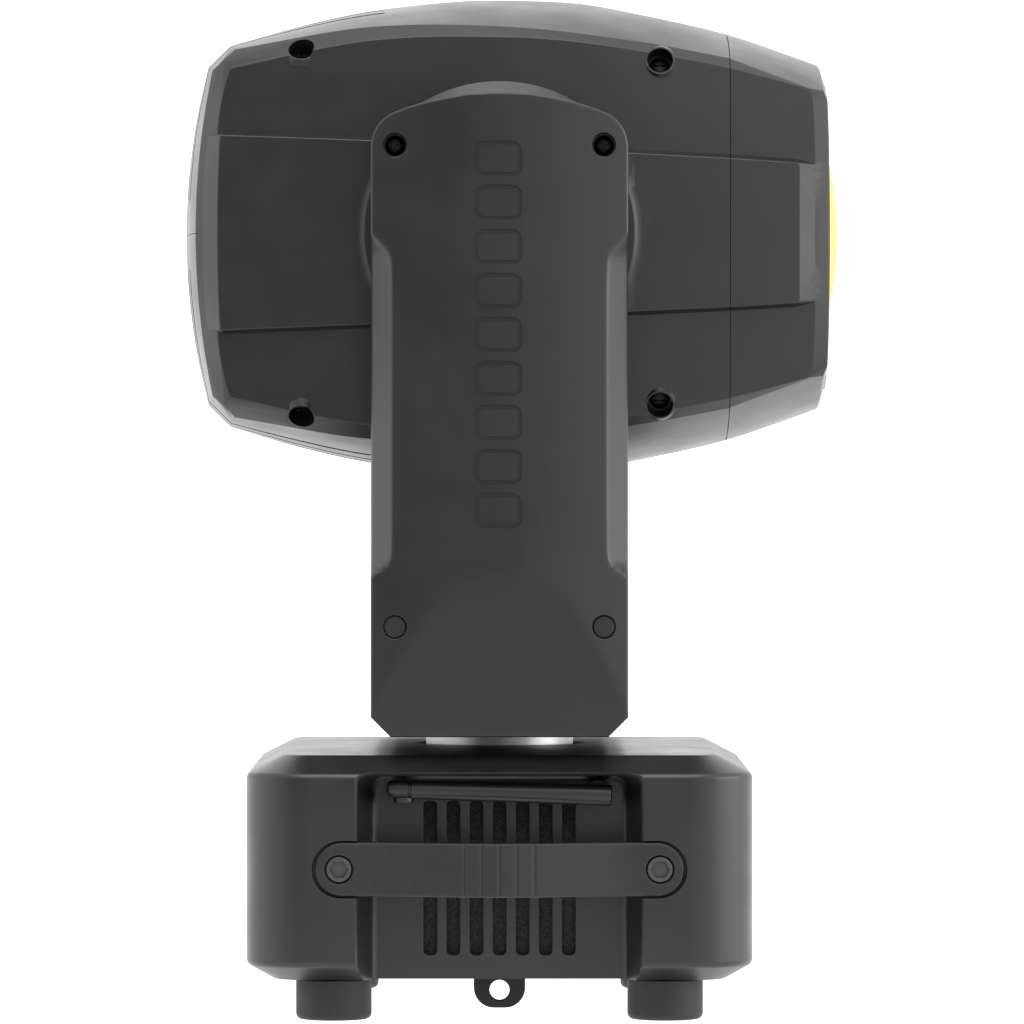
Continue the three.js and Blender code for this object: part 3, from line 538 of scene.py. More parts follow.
def base_steps():
    """The base's profile, as (height, inset), up to the flat of its top."""
    top = BASE_HIGH.z
    path = [(14, 0), (11.3, 0.1), (0, 6.4), (0, top - 7.6), (14.8, top), (22, top + 0.2)]
    return [(z, inset) for inset, z in rounded(path, [0, 2.5, 3, 3, 3, 0], 4, closed=False)]


def base_body():
    """The outside of the base, with its top crowned a little towards the middle."""
    outline = rectangle(-BASE_HIGH.x, BASE_HIGH.x, -BASE_HIGH.y, BASE_HIGH.y, BASE_CORNER, 10)
    rings = [on_axis("z", shrink(outline, inset), z) for z, inset in base_steps()]
    rim = rings[-1]
    for share, rise in ((0.8, 0.5), (0.55, 0.9), (0.3, 1.15)):
        rings.append([(x * share, y * share, z + rise) for x, y, z in rim])
    return loft(rings)


def base_hollow():
    """The space inside the base's walls."""
    outline = rectangle(-BASE_HIGH.x, BASE_HIGH.x, -BASE_HIGH.y, BASE_HIGH.y, BASE_CORNER, 6)
    top = BASE_HIGH.z
    steps = [(-1, 13.2), (3.2, 13.2), (9, BASE_WALL), (top - 9.5, BASE_WALL), (top - BASE_WALL, 17.5)]
    return stack("z", outline, steps)


def bay_ring(distance, half_width, top):
    """The outline of the left handle bay at a distance from the light's mid-plane."""
    corners = [(-half_width, -8), (half_width, -8), (half_width, top), (-half_width, top)]
    return on_axis("y", rounded(corners, [0, 0, BAY["corner"], BAY["corner"]], 6), distance)


def bay_tool():
    """Cuts the left handle bay: a rounded foot to its back wall, slanted sides and a softly flared mouth."""
    rings = []
    toe = BAY["toe"]
    for step in range(5):
        angle = math.pi / 2 * step / 4
        inset = toe * (1 - math.sin(angle))
        distance = BAY_FLOOR + toe * (1 - math.cos(angle))
        rings.append(bay_ring(distance, BAY["half_floor"] - inset, BAY["top"] - inset))
    mouth = [(6, 0, 0), (5, 0, 0.2), (4, 0, 0.6), (3, 0, 1.2), (2, 0.15, 2), (1, 0.6, 3), (0, 1.6, 4.2)]
    for depth, side_flare, top_flare in mouth + [(-6, 9, 12)]:
        rings.append(bay_ring(BASE_HIGH.y - depth, BAY["half_mouth"] + side_flare, BAY["top"] + top_flare))
    return loft(rings)


def both_sides(make, *values):
    """One shape for the left side, and its mirror image for the right."""
    return [make(*values), mirrored(make(*values))]


def post():
    """Solid stock behind the strap's pockets."""
    return block(-80, 80, 113, 130, -5, 120)


def bay_lining():
    """The bay's own walls, which the hollow of the base leaves standing."""
    return stack("y", [(-60, -9), (60, -9), (60, 86), (-60, 86)], [(BAY_FLOOR - BASE_WALL, 0), (130, 0)])


def strap_pocket():
    """Cuts the left strap's seat, with a narrow gap round its two ends."""
    outline = stadium(STRAP["half_length"] + 1.2, STRAP["radius"] + 0.7, (0, STRAP_Z))
    return cutter("y", outline, BASE_HIGH.y, BASE_HIGH.y - 5.4, 0.4)


def vent_slot(x):
    half = VENT["width"] / 2
    outline = rectangle(x - half, x + half, VENT["low"], VENT["high"], 1.8, 3)
    return cutter("y", outline, BAY_FLOOR, BAY_FLOOR - 5, 0.5)


def panel_opening(end):
    """Cuts the opening for the control panel at the front, or for the connector panel at the rear."""
    gap = 0.3
    half = PANEL_HIGH.y + gap
    outline = rectangle(-half, half, PANEL_LOW.z - gap, PANEL_HIGH.z + gap, 3)
    return cutter("x", outline, end * BASE_HIGH.x, end * (BASE_HIGH.x - 8), 0.6)


def antenna_clip():
    """The ledge that the folded antenna rests on near its tip."""
    low, high = -42.5, -34.5
    outline = rounded([(low, -113), (high, -113), (high, -97), (low, -97)], [3, 3, 0, 0])
    return plate("z", outline, 71.4, 73.7, 0.5)


def base_casing():
    hollow = base_hollow()
    cut(hollow, *both_sides(post))
    cut(hollow, *both_sides(bay_lining))
    casing = cut(base_body(), hollow)
    cut(casing, *both_sides(bay_tool))
    cut(casing, *both_sides(strap_pocket))
    for index in range(VENT["count"]):
        x = (index - (VENT["count"] - 1) / 2) * VENT["pitch"]
        cut(casing, *both_sides(vent_slot, x))
    cut(casing, panel_opening(1), panel_opening(-1))
    cut(casing, cutter("z", circle(HUB_HOLE, sides=96), BASE_HIGH.z + 1.2, 70, 1.0))
    join(casing, antenna_clip())
    return casing


def shaped_slab(levels, half_width, front, back, shares, edge, place):
    """A slab whose two faces follow any surface. Each level is a row across it, half_width(level) wide on
    each side, with points at the given shares of that width. front and back give the faces' positions at
    (across, level), edge rounds both rims, and place turns (across, level, position) into a point."""
    outline = [(half_width(v), v) for v in levels]
    outline += [(-u, v) for u, v in reversed(outline)]
    a = np.array(outline)
    b = np.roll(a, -1, axis=0)
    along = b - a
    length = np.maximum((along**2).sum(axis=1), 1e-9)

    def drop(u, v):
        """How far the rounded rim falls at a point, from its distance to the outline."""
        share = np.clip(((np.array([u, v]) - a) * along).sum(axis=1) / length, 0, 1)
        nearest = np.sqrt((((a + along * share[:, None]) - [u, v]) ** 2).sum(axis=1).min())
        inside = max(edge - nearest, 0)
        return edge - math.sqrt(max(edge * edge - inside * inside, 0))

    sign = 1 if front(0, levels[1]) > back(0, levels[1]) else -1
    rows, columns = len(levels), len(shares)
    points = []
    for face, lean in ((front, -sign), (back, sign)):
        for v in levels:
            for s in shares:
                u = s * half_width(v)
                points.append(place(u, v, face(u, v) + lean * drop(u, v)))
    far = rows * columns
    faces = []
    for r in range(rows - 1):
        for c in range(columns - 1):
            i = r * columns + c
            faces.append((i, i + 1, i + columns + 1, i + columns))
            faces.append((far + i, far + i + columns, far + i + columns + 1, far + i + 1))
    rim = [r * columns for r in range(rows)]
    rim += [(rows - 1) * columns + c for c in range(1, columns)]
    rim += [r * columns + columns - 1 for r in range(rows - 2, -1, -1)]
    rim += [c for c in range(columns - 2, 0, -1)]
    for i, j in zip(rim, rim[1:] + rim[:1]):
        faces.append((i, j, far + j, far + i))
    return solid(points, faces)


def softened(low, high, step, edge):
    """Positions from low to high, close together near both ends so that a rounded rim is smooth."""
    near = [0, 0.12, 0.3, 0.6, 1.0]
    count = max(round((high - low - 2.4 * edge) / step), 1)
    middle = [low + edge * 1.2 + (high - low - 2.4 * edge) * i / count for i in range(count + 1)]
    return [low + n * edge for n in near] + middle + [high - n * edge for n in reversed(near)]


def strap(side):
    """The bowed carrying strap, with round ends, soft rims and five grip grooves across its middle."""
    half_length, radius = STRAP["half_length"], STRAP["radius"]
    wall = BASE_HIGH.y
    bow = 0.68 * (STRAP_HIGH.y - wall)

    def half_width(x):
        over = max(abs(x) - (half_length - radius), 0)
        return math.sqrt(max(radius * radius - over * over, 0))

    def bowed(x):
        return wall + bow * math.cos(min(abs(x) / STRAP["half_bow"], 1) * math.pi / 2) ** 2

    def front(_, x):
        reach = [max(1 - ((x - at) / STRAP_GROOVE["half_width"]) ** 2, 0) for at in STRAP_GROOVE["places"]]
        return bowed(x) - STRAP_GROOVE["depth"] * sum(reach)

    def back(_, x):
        return bowed(x) - STRAP["thickness"]

    right = [0, 0.3, 0.6, 0.86, 0.92, 0.96, 0.985, 1]
    shares = [-s for s in reversed(right[1:])] + right
    shape = shaped_slab(
        softened(-half_length, half_length, 0.35, 1.0), half_width, front, back, shares, 1.0,
        lambda z, x, y: (x, side * y, STRAP_Z + z),
    )
    for x in (-BOLT_X, BOLT_X):
        hole = cutter("y", circle(5.7, (x, STRAP_Z), 40), side * wall, side * (wall - 3), 0.5)
        cut(shape, hole)
    return shape


def foot(node):
    """A rubber foot and the place of the screw in its recess."""
    low, high = box_mm(node)
    centre = ((low.x + high.x) / 2, (low.y + high.y) / 2)
    radius = (high.x - low.x) / 2
    path = [(5, low.z + 2.2), (5, low.z), (radius, low.z), (radius, high.z)]
    profile = rounded(path, [0, 0.4, 2.6, 0], 5, closed=False)
    shape = turned("z", [(r, z) for r, z in profile] + [(radius - 0.4, high.z + 0.3)], centre, 64)
    return shape, (centre[0], centre[1], low.z + 2.2)


def eyelet():
    """The safety cable's eyelet: a thick pressed plate, bent to a tab under the base."""
    low, high = box_mm("safety_eyelet")
    half = high.x
    corners = [(-half, high.z), (-half, low.z), (half, low.z), (half, high.z)]
    outline = rounded(corners, [0, 8.2, 8.2, 0], 10)
    shape = plate("y", outline, low.y, low.y + 3, 0.7)
    tab = rounded([(-half, low.y + 1), (half, low.y + 1), (half, high.y), (-half, high.y)], [0, 0, 3, 3])
    join(shape, plate("z", tab, high.z - 2.2, high.z, 0.3))
    hole = circle(4, (0, low.z + 7.3), 48)
    near = cutter("y", hole, low.y, low.y + 1.5, 0.7)
    far = cutter("y", hole, low.y + 3, low.y + 1.4, 0.7)
    return cut(shape, near, far)


def whip():
    """The folded antenna: a tapered whip with a ring near its round tip and a flat heel on the jack."""
    low, high = box_mm("antenna")
    profile = [
        (3.6, 0), (4.15, 0.4), (4.25, 1), (4.15, 20), (4, 40), (3.75, 80.5), (3.3, 80.9), (3.3, 81.5),
        (3.75, 81.9), (3.7, 87), (3.3, 89), (2.4, 90.1), (1, 90.5),
    ]
    shape = turned("z", profile, sides=40)
    lean = math.atan2(2.5, 84.5)
    heel = Vector((high.x, (low.y + high.y) / 2, low.z + 3.65))
    direction = Vector((-math.cos(lean), 0, math.sin(lean)))
    return aimed(shape, heel, direction)


def antenna_jack():
    """The knurled collar that the antenna folds on."""
    low, high = box_mm("antenna_jack")
    centre = ((low.x + high.x) / 2, (low.z + high.z) / 2)
    radius = (high.x - low.x) / 2
    ribs = [(radius - (0.25 if i % 2 else 0)) for i in range(64)]
    turns = [2 * math.pi * i / 64 for i in range(64)]
    knurled = [(centre[0] + r * math.cos(a), centre[1] + r * math.sin(a)) for r, a in zip(ribs, turns)]
    return plate("y", knurled, low.y, -BAY_FLOOR + 0.2, 0.5)


def bolt(node):
    """The head of one of the strap's bolts, with its hexagon socket facing outwards."""
    low, high = box_mm(node)
    side = 1 if low.y > 0 else -1
    outer = high.y if side > 0 else low.y
    radius, height, key = (high.z - low.z) / 2, 2.4, 6.4
    profile = [(radius - 0.1, 0), (radius, 0.2), (radius, height - 0.7), (radius - 0.25, height - 0.2)]
    head = turned("z", profile + [(radius - 0.8, height)], sides=40)
    cut(head, cutter("z", circle(key / math.sqrt(3), sides=6), height, height - 2.2, 0.3))
    return aimed(head, ((low.x + high.x) / 2, outer - side * height, (low.z + high.z) / 2), (0, side, 0))


def build_base():
    complete(base_casing(), "base_casing", "base", "casing", ["base_shell"])
    for name, side in SIDES.items():
        complete(strap(side), f"carrying_strap_{name}", "base", "strap", [f"handle_{name}"])
        outline = rectangle(-36, 36, 7, 74, 3)
        screen = plate("y", outline, side * 95.4, side * 93.4, 0.4)
        complete(screen, f"vent_filter_{name}", "base", "socket_plastic", finish=FILTER)
    for number in range(1, 5):
        shape, under = foot(f"foot_{number}")
        complete(shape, f"rubber_foot_{number}", "base", "foot_rubber", [f"foot_{number}"])
        complete(aimed(screw(3.4, 2), under, (0, 0, -1)), f"foot_screw_{number}", "base", "plated_steel")
        node = f"handle_bolt_{number}"
        complete(bolt(node), f"strap_bolt_{number}", "base", "black_steel", [node], finish=BOLT_STEEL)
    complete(eyelet(), "cable_eyelet", "base", "black_steel", ["safety_eyelet"])
    complete(whip(), "antenna_whip_moulding", "antenna_whip", "antenna_plastic", ["antenna"])
    complete(antenna_jack(), "antenna_collar", "base", "black_steel", ["antenna_jack"])


# ---- yoke

ARM_HALF = ARM_HIGH.x
ARM_FACE = ARM_HIGH.y
ARM_SPLIT = ARM_LOW.y
ARM_CHAMFER = 8.0
ARM_TOP_RADIUS = 118.0
ARM_CORNER = 15.0
ARM_BEVEL = {"width": 8.6, "slope": 1.16, "bottom": 161.8, "top": 300.2}
ARM_SCREW_X = 41.9
UPPER_SCREW_Z, LOWER_SCREW_Z = 335.3, 142.2
UPPER_SCREW_FLOOR, LOWER_SCREW_FLOOR = ARM_FACE - 13, ARM_FACE - 7
CELL = {"count": 9, "pitch": 17.6, "first": 329.7, "left": -10, "right": 9, "half_height": 7}


def arm_half_width(z):
    """Half the arm's width at a height: chamfered at the bottom, straight, then rounded to a shallow arc."""
    centre = ARM_HIGH.z - ARM_TOP_RADIUS
    corner_x = ARM_HALF - ARM_CORNER
    corner_z = centre + math.sqrt((ARM_TOP_RADIUS - ARM_CORNER) ** 2 - corner_x**2)
    meeting_z = centre + (corner_z - centre) * ARM_TOP_RADIUS / (ARM_TOP_RADIUS - ARM_CORNER)
    if z >= meeting_z:
        return math.sqrt(max(ARM_TOP_RADIUS**2 - (z - centre) ** 2, 0))
    if z >= corner_z:
        return corner_x + math.sqrt(ARM_CORNER**2 - (z - corner_z) ** 2)
    return min(ARM_HALF, ARM_HALF - ARM_CHAMFER + (z - ARM_LOW.z))


def arm_levels(step, edge):
    """Heights along the arm, closer together at its ends and where its side bevels end."""
    levels = softened(ARM_LOW.z, ARM_HIGH.z, step, edge)
    bevel_ends = [z + k for z in (160, 288) for k in range(15)]
    return sorted(set(levels + bevel_ends + [ARM_LOW.z + ARM_CHAMFER, 341, 344, 347, 350, 352, 354]))


def soft_max(a, b, blend):
    """The greater of two numbers, with a rounded change from one to the other."""
    return (a + b + math.sqrt((a - b) ** 2 + blend * blend)) / 2


def bevel_line(z):
    """How far from the arm's centre line its side bevel begins, at a height."""
    inner = ARM_HALF - ARM_BEVEL["width"]
    upper = ARM_HALF - (ARM_BEVEL["top"] - z) * 0.97
    lower = ARM_HALF - (z - ARM_BEVEL["bottom"]) * 1.3
    return soft_max(inner, max(upper, lower), 2.5)


def arm_face(x, z):
    """The outer face: crowned from side to side, with side bevels and a pointed facet low down."""
    crown = x * x / 440
    facet = 0.105 * (ARM_LOW.z + 67.8 - z)
    bevel = ARM_BEVEL["slope"] * (abs(x) - bevel_line(z))
    return ARM_FACE - soft_max(crown, facet, 0.25) - soft_max(bevel, 0, 0.5)


def arm_shares():
    """Where the arm's columns stand: close together at the rims and along the edges of the bevels."""
    right = [0, 0.06, 0.12, 0.18, 0.25, 0.32, 0.39, 0.46, 0.53, 0.6, 0.66, 0.72, 0.77, 0.8, 0.815, 0.826]
    right += [0.834, 0.842, 0.853, 0.87, 0.9, 0.93, 0.955, 0.972, 0.98, 0.986, 0.991, 0.995, 0.998, 1]
    return [-s for s in reversed(right[1:])] + right


def cell_groove(index):
    """A shallow groove round one rounded cell of the arm's decorative column."""
    middle = CELL["first"] - index * CELL["pitch"]
    low, high = middle - CELL["half_height"], middle + CELL["half_height"]
    outline = rectangle(CELL["left"], CELL["right"], low, high, 4, 5)
    outer = cutter("y", outline, ARM_FACE, ARM_FACE - 0.9, 0.25)
    inner = stack("y", shrink(outline, 1.5), [(ARM_FACE - 3, 0), (ARM_FACE + 9, 0)])
    return cut(outer, inner)


def arm_outline():
    right = [(arm_half_width(z), z) for z in arm_levels(8, 1)]
    return right + [(-u, z) for u, z in reversed(right) if u > 0]


def arm_cover():
    """The outer cover of the left arm."""
    shape = shaped_slab(
        arm_levels(2.4, 1.0), arm_half_width, arm_face, lambda x, z: ARM_SPLIT, arm_shares(), 1.0,
        lambda x, z, y: (x, y, z),
    )
    inner = rounded([(-39.5, 104), (39.5, 104), (39.5, 322), (24, 346), (-24, 346), (-39.5, 322)], 5)
    cut(shape, stack("y", inner, [(ARM_SPLIT - 3, 0), (ARM_FACE - 10.6, 0)]))
    for x in (-ARM_SCREW_X, ARM_SCREW_X):
        upper, lower = circle(4.8, (x, UPPER_SCREW_Z), 40), circle(4.8, (x, LOWER_SCREW_Z), 40)
        cut(shape, cutter("y", upper, ARM_FACE - 4.2, UPPER_SCREW_FLOOR, 0.4, 6))
        cut(shape, cutter("y", lower, ARM_FACE - 4.6, LOWER_SCREW_FLOOR, 0.3, 6))
    for index in range(CELL["count"]):
        cut(shape, cell_groove(index))
    return shape


def arm_lining():
    """The inner cover of the left arm, with the trunnion's eye."""
    low, high = box_mm("arm_inner_cover_left")
    shape = stack("y", arm_outline(), [(low.y, 1.6), (low.y + 0.4, 0.6), (low.y + 1.4, 0), (high.y, 0)])
    cut(shape, block(-99, 99, low.y - 9, high.y + 9, 0, low.z))
    cut(shape, stack("y", rectangle(-46, 46, low.z - 9, 345, 6), [(low.y + 3, 0), (high.y + 3, 0)]))
    eye = cutter("y", circle(TRUNNION_RADIUS + 1, (0, TILT_Z), 64), low.y, high.y + 3, 0.8)
    return cut(shape, eye)


def bridge():
    """The cover across the bottom of the yoke."""
    low, high = box_mm("yoke_bridge_cover")
    half, corner = ARM_HALF, low.z + ARM_CHAMFER
    bottom = half - ARM_CHAMFER
    right = [(bottom, low.z), (half, corner), (half, high.z)]
    outline = rounded([(-bottom, low.z)] + right + [(-half, high.z), (-half, corner)], [1, 1, 1, 4, 4, 1], 4)
    shape = stack("y", outline, [(low.y, 0.3), (low.y + 0.3, 0), (high.y - 0.3, 0), (high.y, 0.3)])
    cut(shape, stack("y", shrink(outline, 2.6), [(low.y - 3, 0), (high.y + 3, 0)]))
    return cut(shape, cutter("z", circle(31.3, sides=96), low.z, low.z + 9, 0.6))


def hub():
    """The hollow pan hub, with both of its upper edges broken."""
    low, high = box_mm("pan_hub")
    outer, bore, edge = high.x, 16.0, 0.8
    section = [(bore, low.z), (outer, low.z), (outer, high.z - edge), (outer - edge, high.z)]
    section += [(bore + 0.6, high.z), (bore, high.z - 0.6)]
    return turned("z", section, sides=96, looped=True)


def build_yoke():
    complete(bridge(), "yoke_bridge", "yoke", "casing", ["yoke_bridge_cover"])
    complete(hub(), "pan_hub_ring", "yoke", "aluminium", ["pan_hub"])
    for name, side in SIDES.items():
        cover = on_side(side, arm_cover())
        complete(cover, f"arm_cover_{name}", "yoke", "casing", [f"arm_outer_cover_{name}"])
        lining = on_side(side, arm_lining())
        complete(lining, f"arm_lining_{name}", "yoke", "casing", [f"arm_inner_cover_{name}"])
        for number, x in enumerate((-ARM_SCREW_X, ARM_SCREW_X), 1):
            fitted = aimed(screw(4.0, 2.4), (x, side * UPPER_SCREW_FLOOR, UPPER_SCREW_Z), (0, side, 0))
            complete(fitted, f"arm_screw_{name}_{number}", "yoke", "black_steel")
            plug = turned("z", [(4.4, 0), (4.4, 1.6), (4.1, 2.0)], sides=40)
            aimed(plug, (x, side * LOWER_SCREW_FLOOR, LOWER_SCREW_Z), (0, side, 0))
            complete(plug, f"arm_plug_{name}_{number}", "yoke", "antenna_plastic")


# ---- head


def along(knots, x):
    """A smooth curve through (position, value) knots, read at x."""
    for i in range(len(knots) - 1):
        if x <= knots[i + 1][0] or i == len(knots) - 2:
            break
    (x0, v0), (x1, v1) = knots[i], knots[i + 1]

    def slope(k):
        a, b = knots[max(k - 1, 0)], knots[min(k + 1, len(knots) - 1)]
        return (b[1] - a[1]) / (b[0] - a[0])

    width = x1 - x0
    t = min(max((x - x0) / width, 0), 1)
    m0, m1 = slope(i) * width, slope(i + 1) * width
    return (
        (2 * t**3 - 3 * t**2 + 1) * v0 + (t**3 - 2 * t**2 + t) * m0
        + (3 * t**2 - 2 * t**3) * v1 + (t**3 - t**2) * m1
    )


# Heights above the tilt axis at positions along the beam: the ridge along the middle of the head, the
# line where its top turns into the edge strip, and the line where the strip meets the side panel.
RIDGE = [
    (-111.4, 78.5), (-83.5, 86.8), (-53.7, 93.4), (-16.4, 97.6), (5, 98), (33.4, 96.7), (58.3, 92.2),
    (93.1, 84.3), (122.9, 74.3), (131.6, 71),
]
SHOULDER = [(-107.7, 74.8), (-52, 83.6), (5, 83.4), (57.5, 77.5), (94, 71)]
FLANK = [(-109.5, 66.8), (-52, 77.9), (5, 79.2), (40, 76.3), (92.5, 67.2), (128.3, 58)]
STRIP_WIDTH = [(-109, 8), (-52, 6.3), (5, 4.6), (94, 4.4)]
REAR = {"x": -129.6, "half": 66.5}
FRONT = {"x": 131.6, "half": 70.6, "top": 71.0, "bend": 0.0029}
CREASE_Y = 55.0
BAND_RAISE = 2.8


def side_y(x, z=0):
    """The side panels bulge halfway along the head, and roll in towards their long edges."""
    return SIDE_Y + 1.8 - 0.00053 * x * x - (0.0004 + 4e-6 * max(x, 0)) * z * z


def rear_x(y, z):
    """The rear face, bowed both ways."""
    return REAR["x"] + 0.0019 * z * z + (6.0 - 0.0003 * z * z) * (y / REAR["half"]) ** 2


def rear_half(z):
    """Half the width of the rear face, where the edge strip starts."""
    return REAR["half"] - 0.0002 * z * z


def panel_rear_x(z):
    """The rear end of a side panel."""
    return -115.3 + 3e-7 * z**4


def panel_front_x(z):
    """The front end of a side panel."""
    return 128.5 - 0.0004 * z * z


def front_x(z):
    """The front rim beside the lens."""
    return 134.1 - 8e-8 * z**4


def front_half(z):
    """Half the width of the front rim, where the edge strip ends."""
    return FRONT["half"] - 0.0009 * z * z


def band_rear_x(z):
    """The rear end of the raised band on a side panel."""
    return -114.4 + 0.0007 * z * z


def shoulder_y(x):
    return side_y(x, 70) - along(STRIP_WIDTH, x)


def crown_z(x, y):
    """The top face, crowned from side to side and more sharply so near the round front rim."""
    seam = 94.0
    at = min(x, seam)
    bend = (along(RIDGE, at) - along(SHOULDER, at)) / shoulder_y(at) ** 2
    if x > seam:
        bend += (FRONT["bend"] - bend) * (x - seam) / (FRONT["x"] - seam)
    return along(RIDGE, x) - bend * y * y


def rounded_path(points, radius, steps):
    """The inner points of an open path with each of its corners rounded."""
    return rounded(points, radius, steps, closed=False)[1:-1]


def quarter_points():
    """Points over the upper left quarter of the head's outside, with every long edge rounded."""
    points = []
    shoulder_start = -107.7
    half = shoulder_y(shoulder_start)
    for i in range(15):
        y = half * i / 14
        share = (y / half) ** 2
        low, start = 69.8 - 3.6 * share, -111.4 + 3.7 * share
        path = [(rear_x(y, low - 9), low - 9), (rear_x(y, low), low)]
        path += [(start, crown_z(start, y)), (start + 9, crown_z(start + 9, y))]
        points += [(rear_x(y, low * k / 8), y, low * k / 8) for k in range(7)]
        points += [(x, y, z) for x, z in rounded_path(path, 2.0, 3)]
    for k in range(44):
        x = -96 + (FRONT["x"] - 1 + 96) * k / 43
        limit = shoulder_y(x) if x <= 94 else CREASE_Y + 10 * (x - 94) / 37.6
        points += [(x, limit * i / 12, crown_z(x, limit * i / 12)) for i in range(12)]
    for k in range(50):
        x = -106 + (panel_front_x(58) - 1 + 106) * k / 49
        inner = shoulder_y(x) if x <= 94 else CREASE_Y
        shoulder = (inner, crown_z(x, inner))
        before = (inner - 6, crown_z(x, inner - 6))
        edge = along(FLANK, x)
        flank = (side_y(x, edge), edge)
        below = (side_y(x, edge - 8), edge - 8)
        path = [before, shoulder, flank, below] if x <= 94 else [shoulder, flank, below]
        points += [(x, y, z) for y, z in rounded_path(path, 0.9, 4)]
        points += [(x, side_y(x, edge * i / 10), edge * i / 10) for i in range(9)]
    for k in range(17):
        z = 66.4 * k / 16
        y = rear_half(z)
        edge = panel_rear_x(z)
        path = [(rear_x(y - 6, z), y - 6), (rear_x(y, z), y)]
        path += [(edge, side_y(edge, z)), (edge + 8, side_y(edge + 8, z))]
        points += [(x, y, z) for x, y in rounded_path(path, 0.9, 4)]
        if z < 57.5:
            edge = panel_front_x(z)
            path = [(edge - 8, side_y(edge - 8, z)), (edge, side_y(edge, z))]
            path += [(front_x(z), front_half(z)), (front_x(z) + 0.1, front_half(z) - 6)]
            points += [(x, y, z) for x, y in rounded_path(path, 0.9, 4)]
    points += [(-112.1, 71.2, 69.7), (-109.2, side_y(-109.2, 66) - 0.4, 66.9)]
    for i in range(14):
        y = (FRONT["half"] - 3.6) * i / 13
        top = FRONT["top"] - FRONT["bend"] * y * y
        path = [(FRONT["x"] - 12, top + 4), (FRONT["x"], top)]
        path += [(front_x(top - down), top - down) for down in (4, 12)]
        points += [(x, y, z) for x, z in rounded_path(path, 1.5, 4)]
    return points


def head_form(inset=0.0):
    """The closed convex outside of the head, or the same form moved inwards."""
    points = []
    for x, y, z in quarter_points():
        x += inset if x < 0 else 0
        y, z = max(y - inset, 0), max(z - inset, 0)
        points += [(x, sy * y, TILT_Z + sz * z) for sy in (1, -1) for sz in (1, -1)]
    return hull(points)


def band_half_height(x):
    return along([(-113, 39.5), (-53, 37.2), (52, 32.1), (93, 30.1), (122, 28.3)], x)


def band(start, stop):
    """A raised band on the left side panel, from start to stop along the head. Where it reaches an end of the
    panel, it slopes down along the edge strip."""
    points = []
    count = 16
    first = max(start, band_rear_x(39.5) + 0.8)
    last = min(stop, 121.0)
    for k in range(count + 1):
        x = first + (last - first) * k / count
        top = side_y(x) + BAND_RAISE
        half = band_half_height(x)
        path = [(top, half - 6), (top, half), (top - BAND_RAISE - 3, half + 2.6), (60, half)]
        section = rounded_path(path, 0.7, 4)
        points += [(x, y, z) for y, z in section[:-1]]
    if start < first:
        for k in range(13):
            z = band_half_height(first) * k / 12
            edge = band_rear_x(z)
            y = rear_half(z) - 0.3
            path = [(rear_x(y, z) + 0.3, y)]
            path += [(x, side_y(x) + BAND_RAISE) for x in (edge, edge + 9)]
            points += [(x, y, z) for x, y in rounded_path(path, 0.9, 4)]
            points.append((rear_x(y, z) + 0.5, y, z))
    if stop > last:
        for k in range(13):
            z = (band_half_height(last) - 1) * k / 12
            path = [(112, side_y(112) + BAND_RAISE), (121.7, side_y(121.7) + BAND_RAISE)]
            path.append((front_x(z) - 0.5, front_half(z)))
            points += [(x, y, z) for x, y in rounded_path(path, 0.9, 4)]
            points.append((front_x(z) - 1, front_half(z) - 0.4, z))
    both = [(x, y, TILT_Z + side * z) for x, y, z in points for side in (1, -1)]
    return hull(both)


def side_cover():
    """The left side cover: the raised band and the boss round the tilt trunnion."""
    high = box_mm("head_side_cover_left")[1]
    shape = common(band(-200, SEAM_X), block(-200, SEAM_X, 0, 200, 0, 500))
    rises = [(61.4, -4), (61.4, 0.8), (55.3, 4.5), (54.7, 5.2), (46, 5.4)]
    path = [(radius, SIDE_Y + rise) for radius, rise in rises] + [(44.5, high.y), (40, high.y)]
    profile = rounded(path, [0, 0.5, 0.2, 0.3, 0.5, 0.5, 0], 4, closed=False)
    join(shape, turned("y", [(60, SIDE_Y - 6)] + profile, (0, TILT_Z), 96))
    eye = cutter("y", circle(TRUNNION_RADIUS + 0.5, (0, TILT_Z), 64), high.y, SIDE_Y - 9, 0.8)
    return cut(shape, eye)


def slot_tool(y):
    """Cuts one cooling slot down the rear of the head's upper half, over its edge and along its top."""
    depth = 5.0
    ends = [-47 - 35 * k / 3 for k in range(4)]
    inner = [(x, crown_z(x, y) - depth) for x in ends]
    inner += [(-107, 69 - 0.001 * y * y), (-113, 62 - 0.001 * y * y)]
    inner += [(rear_x(y, z) + depth, z) for z in (45, 30, 14)]
    outline = [(x, TILT_Z + z) for x, z in inner]
    outline += [(-150, TILT_Z + 14), (-150, TILT_Z + 120), (-47, TILT_Z + 120)]
    return stack("y", outline, [(y - 1.5, 0), (y + 1.5, 0)])


# The head's corner screws, rear and front: place, rise of the axis outwards, and depth of the recess.
CORNER_SCREWS = [(-80.4, 75.5, 76, 1.0, 9), (65.1, 79.2, 70.6, 0.3, 12)]


def corner_screw_tool(x, y, z, rise, depth):
    """Cuts the recess of a corner screw."""
    tool = turned("z", [(5.1, -depth), (5.3, -0.4), (5.9, 0.4), (6.4, 9)], sides=48)
    return aimed(tool, (x, y, TILT_Z + z), (0, 1, rise))


def corner_screw_boss(x, y, z, rise, depth):
    """The stock behind a corner screw, inside the shell."""
    tool = turned("z", [(7.2, -depth - 3.5), (7.2, -5), (5.8, -2.6)], sides=48)
    return aimed(tool, (x, y, TILT_Z + z), (0, 1, rise))


